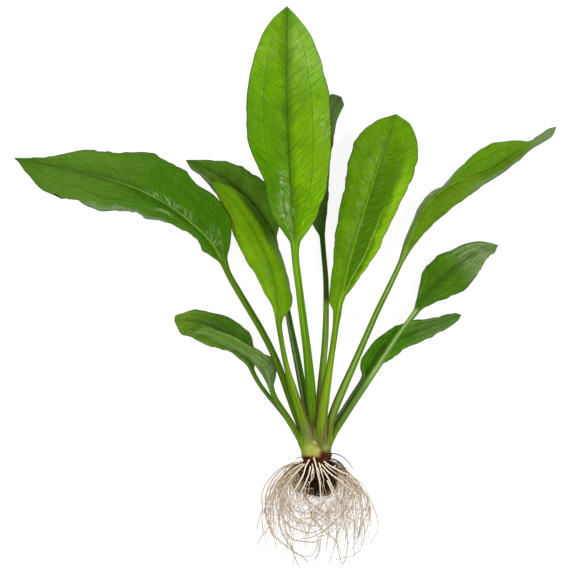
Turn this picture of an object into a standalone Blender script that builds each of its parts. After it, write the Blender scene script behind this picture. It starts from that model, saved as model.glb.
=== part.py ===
"""Amazon sword plant, bare-rooted and lying on its back.

Eleven stalked leaves spread from a short crown. Below the crown a core of dark planting medium sits
inside a skirt of long roots. The plant lies along +Y with its roots at -Y, and rests on z = 0.
Run it with: blender --background --python part.py
"""

import math

import bmesh
import bpy
import numpy as np
from mathutils import Vector, noise

MM = 0.001

LEAF_ROUGHNESS = 0.42
CROWN_FINISH = ((0.34, 0.33, 0.12), 0.6)
MEDIUM_FINISH = ((0.02, 0.012, 0.006), 0.95)
ROOT_FINISH = ((0.72, 0.6, 0.42), 0.6)

# The crown: its axis runs along Y through this point, and the stalks leave its top face.
CROWN_X = 16.4
CROWN_Z = 14.5
CROWN_TOP_Y = -86.3
CROWN_DEPTH_SHARE = 0.78
CROWN_SIDES = 20
# Radius across X at each distance below the top face.
CROWN_PROFILE = [(0.0, 8.3), (2.2, 7.9), (4.6, 7.7), (7.0, 6.9), (9.0, 5.7), (9.8, 4.6)]

# The core of planting medium: centre, half sizes, and the flat that the crown presses on its top. The table
# presses another at z = 0. Its surface is lumpy by this much, with lumps about this far apart.
CORE_CENTRE = (17.2, -103.6, 11.2)
CORE_HALF = (14.6, 9.6, 13.8)
CORE_TOP_Y = -96.4
CORE_LUMP = 1.1
CORE_LUMP_SIZE = 7.0

# Greatest radius of a root, and the shares of it at the root's head and lost by the tip.
ROOT_RADIUS = 0.62
ROOT_HEAD_SHARE = 0.78
ROOT_TIP_LOSS = 0.5
# The skirt of roots from head to tip: place along Y, half width across X, half height, height of the middle.
ROOT_AXIS_X = 17.2
ROOT_SKIRT = [
    (-90.5, 8.2, 7.0, 14.5),
    (-95.8, 13.2, 12.4, 14.6),
    (-101.0, 18.0, 16.0, 14.6),
    (-107.0, 23.5, 16.4, 14.0),
    (-114.0, 27.0, 15.6, 13.2),
    (-123.0, 28.5, 13.8, 11.8),
    (-135.0, 26.5, 11.0, 9.8),
    (-150.0, 18.0, 8.0, 7.8),
]
# Front roots lie on the skirt's upper side. Each has its layer, counted from outside, and then the x and y of
# its route from head to tip. Roots that cross lie in different layers.
LAYER_STEP = 1.9
FRONT_ROOT_POINTS = 12
FRONT_ROOTS = [
    (0, [
        (15.1, -91.4), (16.1, -94.7), (17.2, -100.0), (18.2, -105.8), (18.6, -113.0),
        (18.8, -120.1), (19.5, -128.1), (19.0, -135.3), (18.3, -141.5), (16.0, -148.2),
    ]),
    (0, [(17.9, -94.2), (19.2, -98.3), (20.2, -102.7), (20.8, -107.2), (22.2, -111.7)]),
    (2, [
        (19.2, -95.0), (22.2, -98.3), (25.6, -101.2), (30.0, -104.5), (35.4, -109.4),
        (40.0, -116.5), (41.6, -124.6), (39.7, -133.5), (35.0, -141.5), (30.7, -149.4),
    ]),
    (0, [
        (12.8, -92.5), (10.9, -96.0), (9.5, -100.7), (6.7, -105.8), (3.7, -110.7), (0.4, -116.5),
        (-0.6, -122.8), (0.4, -129.9), (2.6, -137.0), (4.9, -143.3), (7.0, -149.8),
    ]),
    (2, [(14.3, -95.0), (15.0, -98.5), (14.4, -102.3), (11.3, -106.0), (10.3, -109.4), (11.5, -112.8)]),
    (2, [
        (9.4, -93.2), (5.8, -94.6), (1.9, -96.6), (-2.2, -100.0), (-6.3, -105.1), (-9.2, -112.3),
        (-10.1, -120.1), (-8.3, -127.2), (-4.5, -133.9), (0.3, -139.0), (6.7, -144.5), (13.1, -148.2),
    ]),
    (1, [
        (10.4, -94.8), (6.9, -98.2), (3.3, -101.9), (0.1, -106.7), (-2.9, -112.6),
        (-4.5, -119.2), (-3.7, -126.3), (-2.2, -132.6),
    ]),
    (0, [
        (13.3, -95.9), (12.4, -100.0), (10.8, -103.9), (8.8, -108.5), (6.3, -113.2),
        (4.0, -119.2), (3.8, -126.3), (5.6, -134.4), (7.6, -141.5), (9.7, -149.2),
    ]),
    (0, [
        (20.4, -93.4), (24.3, -96.0), (28.7, -98.3), (33.3, -100.7), (38.3, -105.4), (43.2, -111.2),
        (47.2, -118.3), (50.0, -126.3), (49.2, -132.6), (45.2, -138.4), (38.1, -143.5),
    ]),
    (1, [
        (19.7, -97.5), (22.4, -101.6), (24.5, -106.3), (27.6, -111.2), (32.5, -115.6),
        (34.3, -121.9), (32.9, -129.9), (31.8, -137.9), (30.4, -146.4),
    ]),
    (2, [(17.4, -96.9), (18.0, -101.8), (19.5, -106.7), (20.1, -110.7)]),
    (2, [(21.3, -95.1), (25.6, -98.9), (30.0, -101.4), (34.2, -103.9)]),
    (2, [(9.2, -94.8), (5.1, -97.3), (1.2, -100.7), (-2.9, -105.3), (-5.6, -110.3), (-7.0, -116.5)]),
    (0, [
        (22.2, -103.3), (24.9, -109.4), (26.5, -115.6), (28.3, -121.9),
        (27.6, -129.0), (26.5, -136.2), (25.2, -143.3), (23.5, -149.9),
    ]),
    (0, [(14.7, -96.6), (13.9, -101.4), (12.6, -106.7), (12.2, -110.3)]),
    (2, [(13.8, -113.2), (14.9, -118.3), (14.0, -124.6), (12.0, -130.8), (10.4, -137.0), (11.0, -143.3)]),
    (2, [(21.1, -112.6), (22.9, -118.3), (22.0, -124.6), (22.7, -131.7), (22.6, -137.9), (20.7, -144.2)]),
]
# Flank roots run down the skirt's sides, below its middle. Each has its angle round the skirt from +X, the
# share of the skirt's width that it keeps at its tip, and how far down the skirt it reaches.
FLANK_ROOTS = [
    (-40.0, 0.7, 0.82), (-32.0, 1.0, 0.95), (-24.0, 0.85, 0.88), (-16.0, 1.1, 0.78), (-8.0, 0.95, 0.97),
    (188.0, 1.05, 0.92), (196.0, 0.8, 0.84), (204.0, 1.12, 0.97), (212.0, 0.75, 0.9), (220.0, 0.95, 0.8),
]
FLANK_ROOT_POINTS = 8
FLANK_ROOT_START = 0.1
# A flank root sways round the skirt by up to this many degrees, once or less on its way down.
ROOT_SWAY = 5.0
ROOT_SWAY_TURN = 5.0
ROOT_SWAY_STAGGER = 40.0
# Past this share of the way down, a flank root draws in or strays out.
ROOT_FREE_FROM = 0.35

# Half thickness of the blade's sheet, of its midrib where it leaves the stalk and at the tip.
SHEET_HALF = 0.34
RIB_HALF_BASE = 1.25
RIB_HALF_TIP = 0.42
# Half depth of the stalk as a share of its half width, and the limits of that depth.
STALK_DEPTH_SHARE = 0.8
STALK_HALF_DEPTHS = (1.12, 1.4)
# The stalk's round section fades into the blade's flat one over about this length.
STALK_FADE = 8.0
# Each half of the blade arches by this share of its width, and its rise gathers towards the margin.
BLADE_ARCH = 0.07
RISE_POWER = 1.6
# Distances between rings, the fewest rings, and the last ring's distance from the tip as a share of the
# blade.
STALK_STEP = 15.5
BLADE_STEP = 8.5
FEWEST_STALK_RINGS = 3
TIP_RING = 0.012
# Shares of the half width at which a section is sampled, on the round stalk and on the flat blade.
STALK_SHARES = (0.0, 0.38, 0.78, 1.0)
BLADE_SHARES = (0.0, 0.1, 0.55, 1.0)

# Each leaf in mm, from the crown to its tip. A stalk row is x, y, z and half width. A blade row is the
# midrib's x, y, z, then how far the left margin lies from it and how much higher, and the same for the
# right.
LEAVES = {
    "leaf_tall_centre": {
        "colour": (0.24, 0.42, 0.03),
        "stalk": [
            (16.6, -85.9, 16.4, 2.6), (15.0, -71.4, 17.5, 2.7), (13.3, -52.7, 19.5, 2.7),
            (11.6, -35.0, 22.0, 2.3), (9.3, -16.9, 25.0, 2.1), (7.1, 0.8, 27.0, 2.0), (5.3, 15.2, 28.5, 2.0),
        ],
        "blade": [
            (4.8, 22.7, 29.0, 2.3, 0.0, 3.0, 0.0),
            (4.3, 29.2, 30.0, 5.5, 1.5, 8.0, 1.5),
            (3.7, 38.3, 31.0, 10.8, 2.5, 14.0, 2.0),
            (2.9, 50.6, 32.0, 13.8, 2.0, 18.6, 1.0),
            (2.1, 65.0, 33.0, 17.5, 1.0, 21.6, 0.0),
            (1.3, 82.1, 33.0, 21.9, 0.0, 23.2, -1.5),
            (0.7, 99.8, 31.0, 21.5, -1.0, 22.9, -2.0),
            (0.5, 118.0, 27.0, 18.5, -2.0, 19.3, -2.0),
            (0.7, 134.0, 21.0, 13.4, -1.5, 13.2, -1.5),
            (0.8, 143.6, 17.0, 7.6, -0.5, 6.4, -0.5),
            (0.8, 150.4, 13.5, 0.0, 0.0, 0.0, 0.0),
        ],
    },
    "leaf_broad_left": {
        "colour": (0.09, 0.26, 0.02),
        "stalk": [
            (12.4, -85.9, 14.3, 1.8), (8.6, -76.8, 14.3, 1.8), (4.1, -65.0, 14.0, 1.8),
            (0.8, -55.4, 13.8, 1.9), (-2.6, -45.7, 13.5, 1.9), (-7.5, -34.0, 13.2, 1.8),
            (-13.0, -23.3, 13.0, 1.8), (-19.0, -13.1, 12.6, 1.8), (-25.4, -2.4, 12.3, 1.8),
            (-30.8, 7.2, 12.0, 1.7),
        ],
        "blade": [
            (-33.4, 13.1, 12.0, 2.0, -0.3, 2.6, 0.5),
            (-36.6, 19.0, 12.0, 4.5, -2.0, 8.4, 3.0),
            (-42.0, 26.2, 12.0, 5.6, -3.0, 16.4, 6.0),
            (-49.0, 32.9, 11.5, 5.2, -4.0, 18.9, 5.0),
            (-57.5, 39.9, 10.5, 7.9, -5.0, 18.1, 3.0),
            (-68.2, 46.8, 9.5, 11.6, -6.0, 20.6, 1.0),
            (-81.1, 53.2, 8.5, 13.3, -6.5, 20.1, 0.0),
            (-96.0, 58.0, 7.3, 17.4, -6.8, 14.7, 0.0),
            (-112.1, 62.3, 6.3, 15.6, -5.8, 11.6, -0.5),
            (-127.1, 65.5, 5.0, 14.4, -4.5, 4.6, -0.5),
            (-138.3, 67.7, 4.0, 6.8, -2.5, 1.7, 0.0),
            (-146.4, 69.3, 2.8, 0.0, 0.0, 0.0, 0.0),
        ],
    },
    "leaf_dark_left": {
        "colour": (0.05, 0.16, 0.03),
        "stalk": [
            (15.2, -85.9, 11.9, 1.9), (12.6, -74.1, 11.0, 1.8), (10.2, -60.7, 10.0, 1.9),
            (8.1, -49.0, 9.5, 2.1), (5.7, -36.6, 8.7, 2.0), (3.2, -24.3, 8.0, 1.8),
            (0.8, -11.5, 7.2, 1.6), (-1.9, 3.5, 6.5, 1.5),
        ],
        "blade": [
            (-5.1, 19.5, 6.0, 1.8, 0.0, 1.7, 0.0),
            (-6.7, 25.9, 6.0, 6.0, -0.5, 2.6, 0.3),
            (-10.4, 34.5, 5.8, 11.6, -1.5, 9.4, 0.5),
            (-16.3, 43.1, 5.4, 13.6, -3.0, 13.2, 0.5),
            (-24.3, 51.1, 4.9, 12.0, -3.0, 11.9, 0.5),
            (-34.0, 58.6, 4.2, 8.5, -2.5, 9.4, 0.5),
            (-43.6, 63.9, 3.2, 4.9, -1.5, 4.7, 0.3),
            (-49.5, 66.6, 2.4, 3.5, -0.8, 1.9, 0.2),
            (-53.8, 68.2, 1.6, 0.0, 0.0, 0.0, 0.0),
        ],
    },
    "leaf_narrow_left": {
        "colour": (0.23, 0.37, 0.0),
        "stalk": [
            (13.7, -85.9, 19.5, 2.6), (11.0, -75.7, 20.0, 2.8), (7.5, -66.1, 20.0, 2.6),
            (4.1, -55.4, 20.0, 2.2), (0.5, -42.5, 19.5, 1.5), (-1.8, -31.3, 19.0, 1.4),
            (-3.3, -22.2, 18.5, 1.5),
        ],
        "blade": [
            (-4.0, -17.9, 18.3, 1.5, 0.0, 2.6, 0.0),
            (-4.3, -9.9, 18.0, 3.1, 0.3, 7.8, 0.3),
            (-5.1, -1.9, 17.5, 6.7, 0.3, 7.8, 0.0),
            (-7.5, 8.8, 16.5, 8.9, 0.0, 7.6, -1.0),
            (-12.0, 20.1, 15.5, 11.1, -1.0, 7.8, -2.5),
            (-17.9, 31.3, 14.3, 10.6, -1.5, 8.2, -4.0),
            (-25.4, 42.5, 13.0, 7.9, -1.5, 7.2, -4.0),
            (-31.8, 50.0, 11.5, 5.2, -1.0, 4.3, -2.5),
            (-36.6, 54.3, 10.4, 2.9, -0.5, 1.9, -0.8),
            (-39.3, 56.2, 9.6, 0.0, 0.0, 0.0, 0.0),
        ],
    },
    "leaf_low_left": {
        "colour": (0.12, 0.25, 0.05),
        "stalk": [
            (10.4, -85.9, 11.1, 1.8), (6.3, -78.9, 10.5, 1.7), (1.4, -71.4, 9.5, 1.6),
            (-4.3, -64.5, 8.6, 1.3), (-10.0, -57.8, 8.0, 1.2), (-14.8, -51.1, 7.2, 1.2),
        ],
        "blade": [
            (-17.7, -45.2, 6.5, 1.5, 0.0, 1.2, 0.0),
            (-19.0, -40.9, 6.0, 2.7, -0.5, 2.9, 0.2),
            (-21.7, -35.6, 5.5, 4.9, -1.0, 5.7, 0.3),
            (-26.5, -29.7, 5.0, 6.9, -1.5, 8.6, 0.3),
            (-32.9, -24.9, 4.6, 9.5, -2.0, 8.3, 0.0),
            (-40.9, -21.1, 4.2, 10.5, -2.3, 7.3, -0.5),
            (-49.0, -18.5, 3.4, 8.9, -2.3, 6.2, -0.8),
            (-55.4, -17.9, 2.5, 8.3, -1.6, 3.7, -0.8),
            (-58.6, -18.2, 1.8, 6.2, -0.9, 2.4, -0.5),
            (-59.9, -18.6, 1.4, 0.0, 0.0, 0.0, 0.0),
        ],
    },
    "leaf_turned_left": {
        "colour": (0.22, 0.36, 0.16),
        "stalk": [
            (9.8, -85.9, 17.1, 1.7), (6.5, -79.4, 16.5, 1.8), (2.1, -72.0, 15.7, 1.8),
            (-2.1, -65.5, 14.9, 1.6), (-5.5, -59.9, 14.0, 1.4),
        ],
        "blade": [
            (-7.7, -54.3, 13.0, 1.5, 0.0, 1.6, 0.0),
            (-9.0, -49.0, 12.2, 2.5, -0.5, 4.2, -1.2),
            (-11.4, -43.6, 11.7, 3.1, -0.8, 6.9, -2.6),
            (-15.8, -39.1, 11.4, 2.8, -1.0, 5.0, -2.2),
            (-21.7, -35.3, 11.0, 1.7, -1.2, 4.5, -1.0),
            (-28.6, -31.3, 10.6, 2.0, -1.2, 4.4, -0.6),
            (-36.1, -27.8, 10.0, 2.6, -1.2, 4.0, -0.5),
            (-42.5, -25.1, 9.2, 1.6, -0.8, 3.4, -0.5),
            (-47.3, -24.6, 8.5, 1.2, -0.4, 1.8, -0.3),
            (-50.6, -25.4, 8.0, 0.0, 0.0, 0.0, 0.0),
        ],
    },
    "leaf_back_centre": {
        "colour": (0.09, 0.16, 0.05),
        "stalk": [
            (19.8, -85.9, 13.3, 1.8), (18.2, -71.4, 13.0, 1.7), (18.3, -58.0, 12.4, 1.7),
            (19.5, -47.3, 11.6, 1.8), (21.1, -31.3, 10.2, 1.8), (21.8, -12.6, 9.0, 1.6),
            (21.7, 3.5, 8.3, 1.5), (20.6, 16.9, 7.5, 1.4),
        ],
        "blade": [
            (19.8, 26.5, 7.2, 1.5, 0.0, 1.5, 0.0),
            (19.5, 31.3, 7.0, 3.7, -0.3, 2.0, 0.0),
            (18.7, 39.9, 6.5, 6.6, -0.8, 3.7, 0.0),
            (18.2, 51.6, 5.8, 7.1, -1.0, 5.1, 0.3),
            (18.7, 65.0, 5.0, 6.8, -1.2, 5.0, 0.3),
            (20.1, 78.4, 4.2, 5.8, -1.5, 5.7, 0.3),
            (22.7, 89.1, 3.2, 5.4, -1.7, 4.9, 0.3),
            (25.9, 96.6, 2.2, 5.3, -1.5, 4.6, 0.5),
            (28.5, 100.4, 1.6, 5.2, -1.0, 4.1, 0.5),
            (30.2, 102.2, 1.3, 0.0, 0.0, 0.0, 0.0),
        ],
    },
    "leaf_upright_right": {
        "colour": (0.2, 0.36, 0.01),
        "stalk": [
            (19.5, -85.9, 19.5, 2.6), (19.3, -74.1, 20.0, 3.0), (20.6, -60.7, 20.3, 2.9),
            (22.7, -47.9, 20.8, 2.2), (24.9, -35.0, 21.4, 1.7), (26.6, -23.3, 22.0, 1.7),
        ],
        "blade": [
            (27.9, -13.6, 22.2, 2.6, 0.0, 2.1, 0.0),
            (28.7, -8.8, 22.5, 5.7, 0.5, 2.1, 0.3),
            (30.8, -1.9, 23.0, 7.2, 1.0, 3.8, 0.5),
            (33.2, 8.8, 24.0, 8.3, 0.5, 8.2, 1.0),
            (36.4, 21.1, 25.0, 10.8, -0.5, 12.6, 1.0),
            (40.4, 34.5, 26.0, 12.7, -1.5, 15.0, 0.5),
            (44.9, 49.0, 26.0, 14.0, -2.0, 16.7, 0.0),
            (49.5, 63.4, 25.0, 16.2, -2.5, 19.1, -1.0),
            (53.8, 76.2, 23.0, 15.2, -2.0, 17.9, -1.5),
            (56.7, 84.8, 21.0, 9.8, -1.0, 13.9, -1.0),
            (58.3, 89.3, 19.6, 4.8, -0.4, 9.2, -0.5),
            (59.1, 92.3, 18.6, 0.0, 0.0, 0.0, 0.0),
        ],
    },
    "leaf_long_right": {
        "colour": (0.1, 0.26, 0.01),
        "stalk": [
            (22.6, -85.9, 17.1, 1.7), (23.4, -75.2, 17.0, 2.2), (26.6, -65.0, 17.0, 2.3),
            (30.8, -54.8, 17.0, 2.2), (36.5, -42.0, 17.3, 1.9), (42.8, -27.6, 18.0, 1.7),
            (49.2, -13.1, 18.7, 1.6), (55.7, 0.3, 19.5, 1.5), (61.2, 12.0, 20.2, 1.4),
        ],
        "blade": [
            (63.9, 17.9, 20.5, 2.2, -0.6, 2.0, 0.0),
            (66.6, 24.9, 21.0, 2.6, -4.0, 3.9, -1.0),
            (70.4, 34.0, 21.5, 2.6, -7.5, 7.1, -2.0),
            (75.2, 42.5, 22.0, 3.4, -9.0, 9.7, -3.0),
            (80.5, 48.4, 22.0, 3.4, -9.0, 10.5, -3.0),
            (86.4, 53.0, 21.5, 2.6, -8.0, 10.6, -2.0),
            (93.4, 56.4, 20.5, 5.8, -6.0, 9.6, 0.0),
            (100.8, 58.9, 19.5, 9.7, -4.0, 7.3, 3.0),
            (108.3, 61.5, 18.0, 12.4, -2.5, 5.1, 5.0),
            (116.4, 66.1, 16.0, 12.4, -2.0, 4.2, 6.0),
            (124.4, 71.4, 14.0, 8.2, -3.0, 3.5, 5.0),
            (131.3, 75.7, 12.0, 3.1, -3.0, 2.1, 3.0),
            (138.3, 80.5, 10.0, 1.9, -1.2, 2.8, 1.2),
            (145.8, 85.9, 8.0, 0.0, 0.0, 0.0, 0.0),
        ],
    },
    "leaf_mid_right": {
        "colour": (0.07, 0.22, 0.02),
        "stalk": [
            (23.0, -85.9, 13.3, 1.5), (26.4, -78.4, 13.2, 1.7), (31.1, -70.9, 13.0, 1.7),
            (36.6, -62.3, 12.8, 1.7), (42.0, -54.0, 12.6, 1.8), (47.6, -45.5, 12.4, 1.8),
            (53.5, -36.6, 12.2, 1.7), (59.6, -27.6, 12.0, 1.6), (65.6, -19.3, 12.0, 1.4),
        ],
        "blade": [
            (70.0, -13.1, 12.0, 1.5, 0.0, 2.0, 0.0),
            (72.0, -8.8, 12.2, 2.3, 0.5, 4.2, -0.5),
            (75.7, -4.3, 12.0, 5.5, 1.0, 6.5, -1.5),
            (81.1, 1.3, 11.5, 10.2, 1.0, 10.0, -2.5),
            (87.5, 7.5, 11.0, 10.7, 0.5, 12.7, -4.0),
            (93.9, 12.8, 10.0, 8.6, 0.0, 12.0, -4.5),
            (100.8, 17.4, 8.4, 6.6, -0.5, 9.2, -4.0),
            (107.8, 20.3, 6.2, 4.2, -0.5, 4.8, -2.0),
            (114.8, 22.2, 4.0, 0.0, 0.0, 0.0, 0.0),
        ],
    },
    "leaf_low_right": {
        "colour": (0.07, 0.21, 0.03),
        "stalk": [
            (21.8, -85.9, 10.5, 1.7), (24.3, -78.4, 10.0, 1.6), (28.4, -70.9, 9.5, 1.5),
            (33.2, -63.4, 9.0, 1.5), (37.6, -56.6, 8.4, 1.5), (41.0, -51.6, 7.7, 1.6),
        ],
        "blade": [
            (42.8, -48.6, 7.2, 2.0, 0.0, 1.6, 0.0),
            (44.2, -45.4, 7.1, 4.5, 0.2, 2.6, -0.3),
            (46.0, -41.6, 7.0, 5.8, 0.3, 4.4, -0.7),
            (48.8, -37.3, 6.8, 5.6, 0.5, 6.0, -1.5),
            (53.8, -32.1, 6.2, 6.1, 0.5, 7.8, -3.0),
            (61.3, -27.6, 5.6, 6.5, 0.3, 6.8, -3.5),
            (70.4, -23.8, 5.0, 6.0, 0.0, 6.4, -3.2),
            (80.0, -20.6, 4.0, 3.8, 0.0, 5.1, -2.5),
            (88.0, -17.7, 2.5, 2.9, 0.0, 4.0, -1.6),
            (95.0, -15.2, 1.0, 0.0, 0.0, 0.0, 0.0),
        ],
    },
}


def clear_scene():
    for obj in list(bpy.data.objects):
        bpy.data.objects.remove(obj, do_unlink=True)


def material(name, colour, roughness):
    """A plain finish of one colour."""
    made = bpy.data.materials.new(name)
    made.use_nodes = True
    shader = made.node_tree.nodes["Principled BSDF"]
    shader.inputs["Base Color"].default_value = (*colour, 1.0)
    shader.inputs["Roughness"].default_value = roughness
    shader.inputs["Metallic"].default_value = 0.0
    return made


def secant_slopes(knots, values):
    """Slopes of a smooth curve through the values: those of the line between each point's neighbours."""
    return np.gradient(values, knots, axis=0)


def level_slopes(knots, values):
    """Slopes that keep each column between its neighbouring values, so that a width never overshoots."""
    steps = np.diff(knots)[:, None]
    rates = np.diff(values, axis=0) / steps
    slopes = np.zeros_like(values)
    before, after = rates[:-1], rates[1:]
    same_way = before * after > 0
    total = np.where(same_way, before + after, 1.0)
    slopes[1:-1] = np.where(same_way, 2 * before * after / total, 0.0)
    slopes[0], slopes[-1] = rates[0], rates[-1]
    return slopes


def hermite(knots, values, slopes, at):
    """The curve with these values and slopes at the knots, read at each place of at."""
    left = np.clip(np.searchsorted(knots, at, side="right") - 1, 0, len(knots) - 2)
    width = (knots[left + 1] - knots[left])[:, None]
    t = (at - knots[left])[:, None] / width
    return (
        values[left] * (2 * t**3 - 3 * t**2 + 1)
        + slopes[left] * width * (t**3 - 2 * t**2 + t)
        + values[left + 1] * (3 * t**2 - 2 * t**3)
        + slopes[left + 1] * width * (t**3 - t**2)
    )


def leaf_rows(leaf):
    """Route points and section columns (left, rise, right, rise) of the whole leaf, with each row's distance
    from the crown and the distance at which the blade starts."""
    stalk = np.array([(x, y, z, w, 0.0, w, 0.0) for x, y, z, w in leaf["stalk"]])
    rows = np.vstack([stalk, np.array(leaf["blade"])])
    strides = np.linalg.norm(np.diff(rows[:, :3], axis=0), axis=1)
    knots = np.concatenate([[0.0], np.cumsum(strides)])
    return rows[:, :3], rows[:, 3:], knots, knots[len(stalk)]


def stations(knots, blade_start):
    """Distances from the crown at which the rings are cut: wide apart on the stalk, closer on the blade."""
    blade = knots[-1] - blade_start
    stalk_rings = max(FEWEST_STALK_RINGS, round(blade_start / STALK_STEP) + 1)
    along_stalk = np.linspace(0.0, blade_start, stalk_rings)
    along_blade = np.linspace(blade_start, knots[-1], round(blade / BLADE_STEP) + 2)[1:-1]
    # One more ring stands close to the tip, where the outline turns in fast.
    return np.concatenate([along_stalk, along_blade, [knots[-1] - TIP_RING * blade, knots[-1]]])


def section(columns, fleshy, rib_half, stalk_half):
    """Offsets across and up from the midrib, and half thicknesses, from the left margin to the right one."""
    shares = [s * fleshy + b * (1 - fleshy) for s, b in zip(STALK_SHARES, BLADE_SHARES)]
    points = []
    for sign, (reach, rise) in ((-1, columns[:2]), (1, columns[2:])):
        side = []
        for share in shares:
            arch = (1 - fleshy) * BLADE_ARCH * abs(reach) * 4 * share * (1 - share)
            up = rise * share**RISE_POWER + arch
            sheet = rib_half if share == 0 else SHEET_HALF
            half = fleshy * stalk_half * math.sqrt(1 - share**2) + (1 - fleshy) * sheet
            side.append((sign * reach * share, up, half))
        points.append(side)
    return points[0][:0:-1] + points[1]


def leaf_rings(leaf):
    """Rings of points round the leaf from its foot to its tip; the last one is the tip itself."""
    route, columns, knots, blade_start = leaf_rows(leaf)
    at = stations(knots, blade_start)
    centres = hermite(knots, route, secant_slopes(knots, route), at)
    widths = hermite(knots, columns, level_slopes(knots, columns), at)
    along = np.gradient(centres, at, axis=0)
    along[0] = (0.0, 1.0, 0.0)
    rings = []
    for place, centre, width, heading in zip(at[:-1], centres, widths, along):
        heading = Vector(heading).normalized()
        across = heading.cross(Vector((0.0, 0.0, 1.0))).normalized()
        past = max(0.0, place - blade_start)
        fleshy = math.exp(-((past / STALK_FADE) ** 2))
        share = past / (knots[-1] - blade_start)
        rib_half = RIB_HALF_BASE + (RIB_HALF_TIP - RIB_HALF_BASE) * share
        stalk_half = min(max(STALK_DEPTH_SHARE * width[0], STALK_HALF_DEPTHS[0]), STALK_HALF_DEPTHS[1])
        cut = section(width, fleshy, rib_half, stalk_half)
        middle = [Vector(centre) + across * out + Vector((0.0, 0.0, up)) for out, up, _ in cut]
        faces = []
        for i in range(1, len(cut) - 1):
            normal = (middle[i + 1] - middle[i - 1]).cross(heading).normalized()
            faces.append((middle[i] + normal * cut[i][2], middle[i] - normal * cut[i][2]))
        upper = [pair[0] for pair in faces]
        lower = [pair[1] for pair in faces]
        rings.append([middle[0], *upper, middle[-1], *reversed(lower)])
    rings.append([Vector(centres[-1])])
    return rings


def add_object(name, mesh_or_curve, collection, finish):
    obj = bpy.data.objects.new(name, mesh_or_curve)
    mesh_or_curve.materials.append(finish)
    collection.objects.link(obj)
    return obj


def loft(name, rings, collection, finish):
    """One closed skin over the rings; the last ring is a single point."""
    work = bmesh.new()
    rows = [[work.verts.new(point * MM) for point in ring] for ring in rings]
    for lower, upper in zip(rows[:-2], rows[1:-1]):
        for i in range(len(lower)):
            j = (i + 1) % len(lower)
            work.faces.new((lower[i], lower[j], upper[j], upper[i]))
    last, tip = rows[-2], rows[-1][0]
    for i in range(len(last)):
        work.faces.new((last[i], last[(i + 1) % len(last)], tip))
    work.faces.new(list(reversed(rows[0])))
    bmesh.ops.recalc_face_normals(work, faces=work.faces)
    mesh = bpy.data.meshes.new(name)
    work.to_mesh(mesh)
    work.free()
    mesh.shade_smooth()
    add_object(name, mesh, collection, finish)


def add_leaves(collection):
    for name, leaf in LEAVES.items():
        finish = material(name, leaf["colour"], LEAF_ROUGHNESS)
        loft(name, leaf_rings(leaf), collection, finish)


def add_crown(collection):
    """A short turned stem, flattened a little from front to back, with its axis along Y."""
    wall = [(radius, -down) for down, radius in CROWN_PROFILE]
    points = [(0.0, 0.0), *wall, (0.0, wall[-1][1])]
    mesh = bpy.data.meshes.new("crown")
    edges = [(i, i + 1) for i in range(len(points) - 1)]
    mesh.from_pydata([(x * MM, y * MM, 0.0) for x, y in points], edges, [])
    crown = add_object("crown", mesh, collection, material("crown", *CROWN_FINISH))
    turn = crown.modifiers.new("turn", "SCREW")
    turn.axis = "Y"
    turn.steps = CROWN_SIDES
    turn.render_steps = CROWN_SIDES
    turn.use_merge_vertices = True
    turn.merge_threshold = 0.00001
    turn.use_smooth_shade = True
    crown.location = (CROWN_X * MM, CROWN_TOP_Y * MM, CROWN_Z * MM)
    crown.scale = (1.0, 1.0, CROWN_DEPTH_SHARE)


def add_core(collection):
    """A lumpy ball of planting medium with a flat where the crown sits and a flat that lies on the table."""
    work = bmesh.new()
    bmesh.ops.create_icosphere(work, subdivisions=3, radius=1.0)
    centre = Vector(CORE_CENTRE)
    for vert in work.verts:
        point = Vector([c * h for c, h in zip(vert.co, CORE_HALF)])
        lump = noise.noise((centre + point) / CORE_LUMP_SIZE)
        point += vert.co.normalized() * CORE_LUMP * (lump - 0.5)
        point += centre
        point.y = min(point.y, CORE_TOP_Y)
        point.z = max(point.z, 0.0)
        vert.co = point * MM
    mesh = bpy.data.meshes.new("root_ball_core")
    work.to_mesh(mesh)
    work.free()
    add_object("root_ball_core", mesh, collection, material("planting_medium", *MEDIUM_FINISH))


def front_route(layer, flat):
    """Points down one front root: its height is that of the skirt's upper side, less its layer's inset."""
    flat = np.array(flat)
    strides = np.linalg.norm(np.diff(flat, axis=0), axis=1)
    knots = np.concatenate([[0.0], np.cumsum(strides)])
    course = hermite(knots, flat, secant_slopes(knots, flat), np.linspace(0.0, knots[-1], FRONT_ROOT_POINTS))
    skirt = np.array(ROOT_SKIRT)[::-1]
    across, height, middle = (np.interp(course[:, 1], skirt[:, 0], column) for column in skirt.T[1:])
    off_axis = np.clip((course[:, 0] - ROOT_AXIS_X) / across, -1.0, 1.0)
    z = middle + (height - layer * LAYER_STEP) * np.sqrt(1 - off_axis**2)
    return np.column_stack([course, z])


def flank_route(angle, spread, reach):
    """Points down one flank root: over the core's shoulder, along the skirt, then down to its own tip."""
    skirt = np.array(ROOT_SKIRT)
    knots = np.linspace(0.0, 1.0, len(skirt))
    at = np.linspace(FLANK_ROOT_START, reach, FLANK_ROOT_POINTS)
    rows = hermite(knots, skirt, secant_slopes(knots, skirt), at)
    points = []
    for place, (y, across, height, middle) in zip(at, rows):
        free = max(0.0, (place - ROOT_FREE_FROM) / (1 - ROOT_FREE_FROM))
        draw = 1 - (1 - spread) * free
        sway = ROOT_SWAY * place * math.sin(ROOT_SWAY_TURN * place + angle / ROOT_SWAY_STAGGER)
        turn = math.radians(angle + sway)
        x = ROOT_AXIS_X + across * draw * math.cos(turn)
        points.append((x, y, middle + height * min(draw, 1.0) * math.sin(turn)))
    return points


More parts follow.
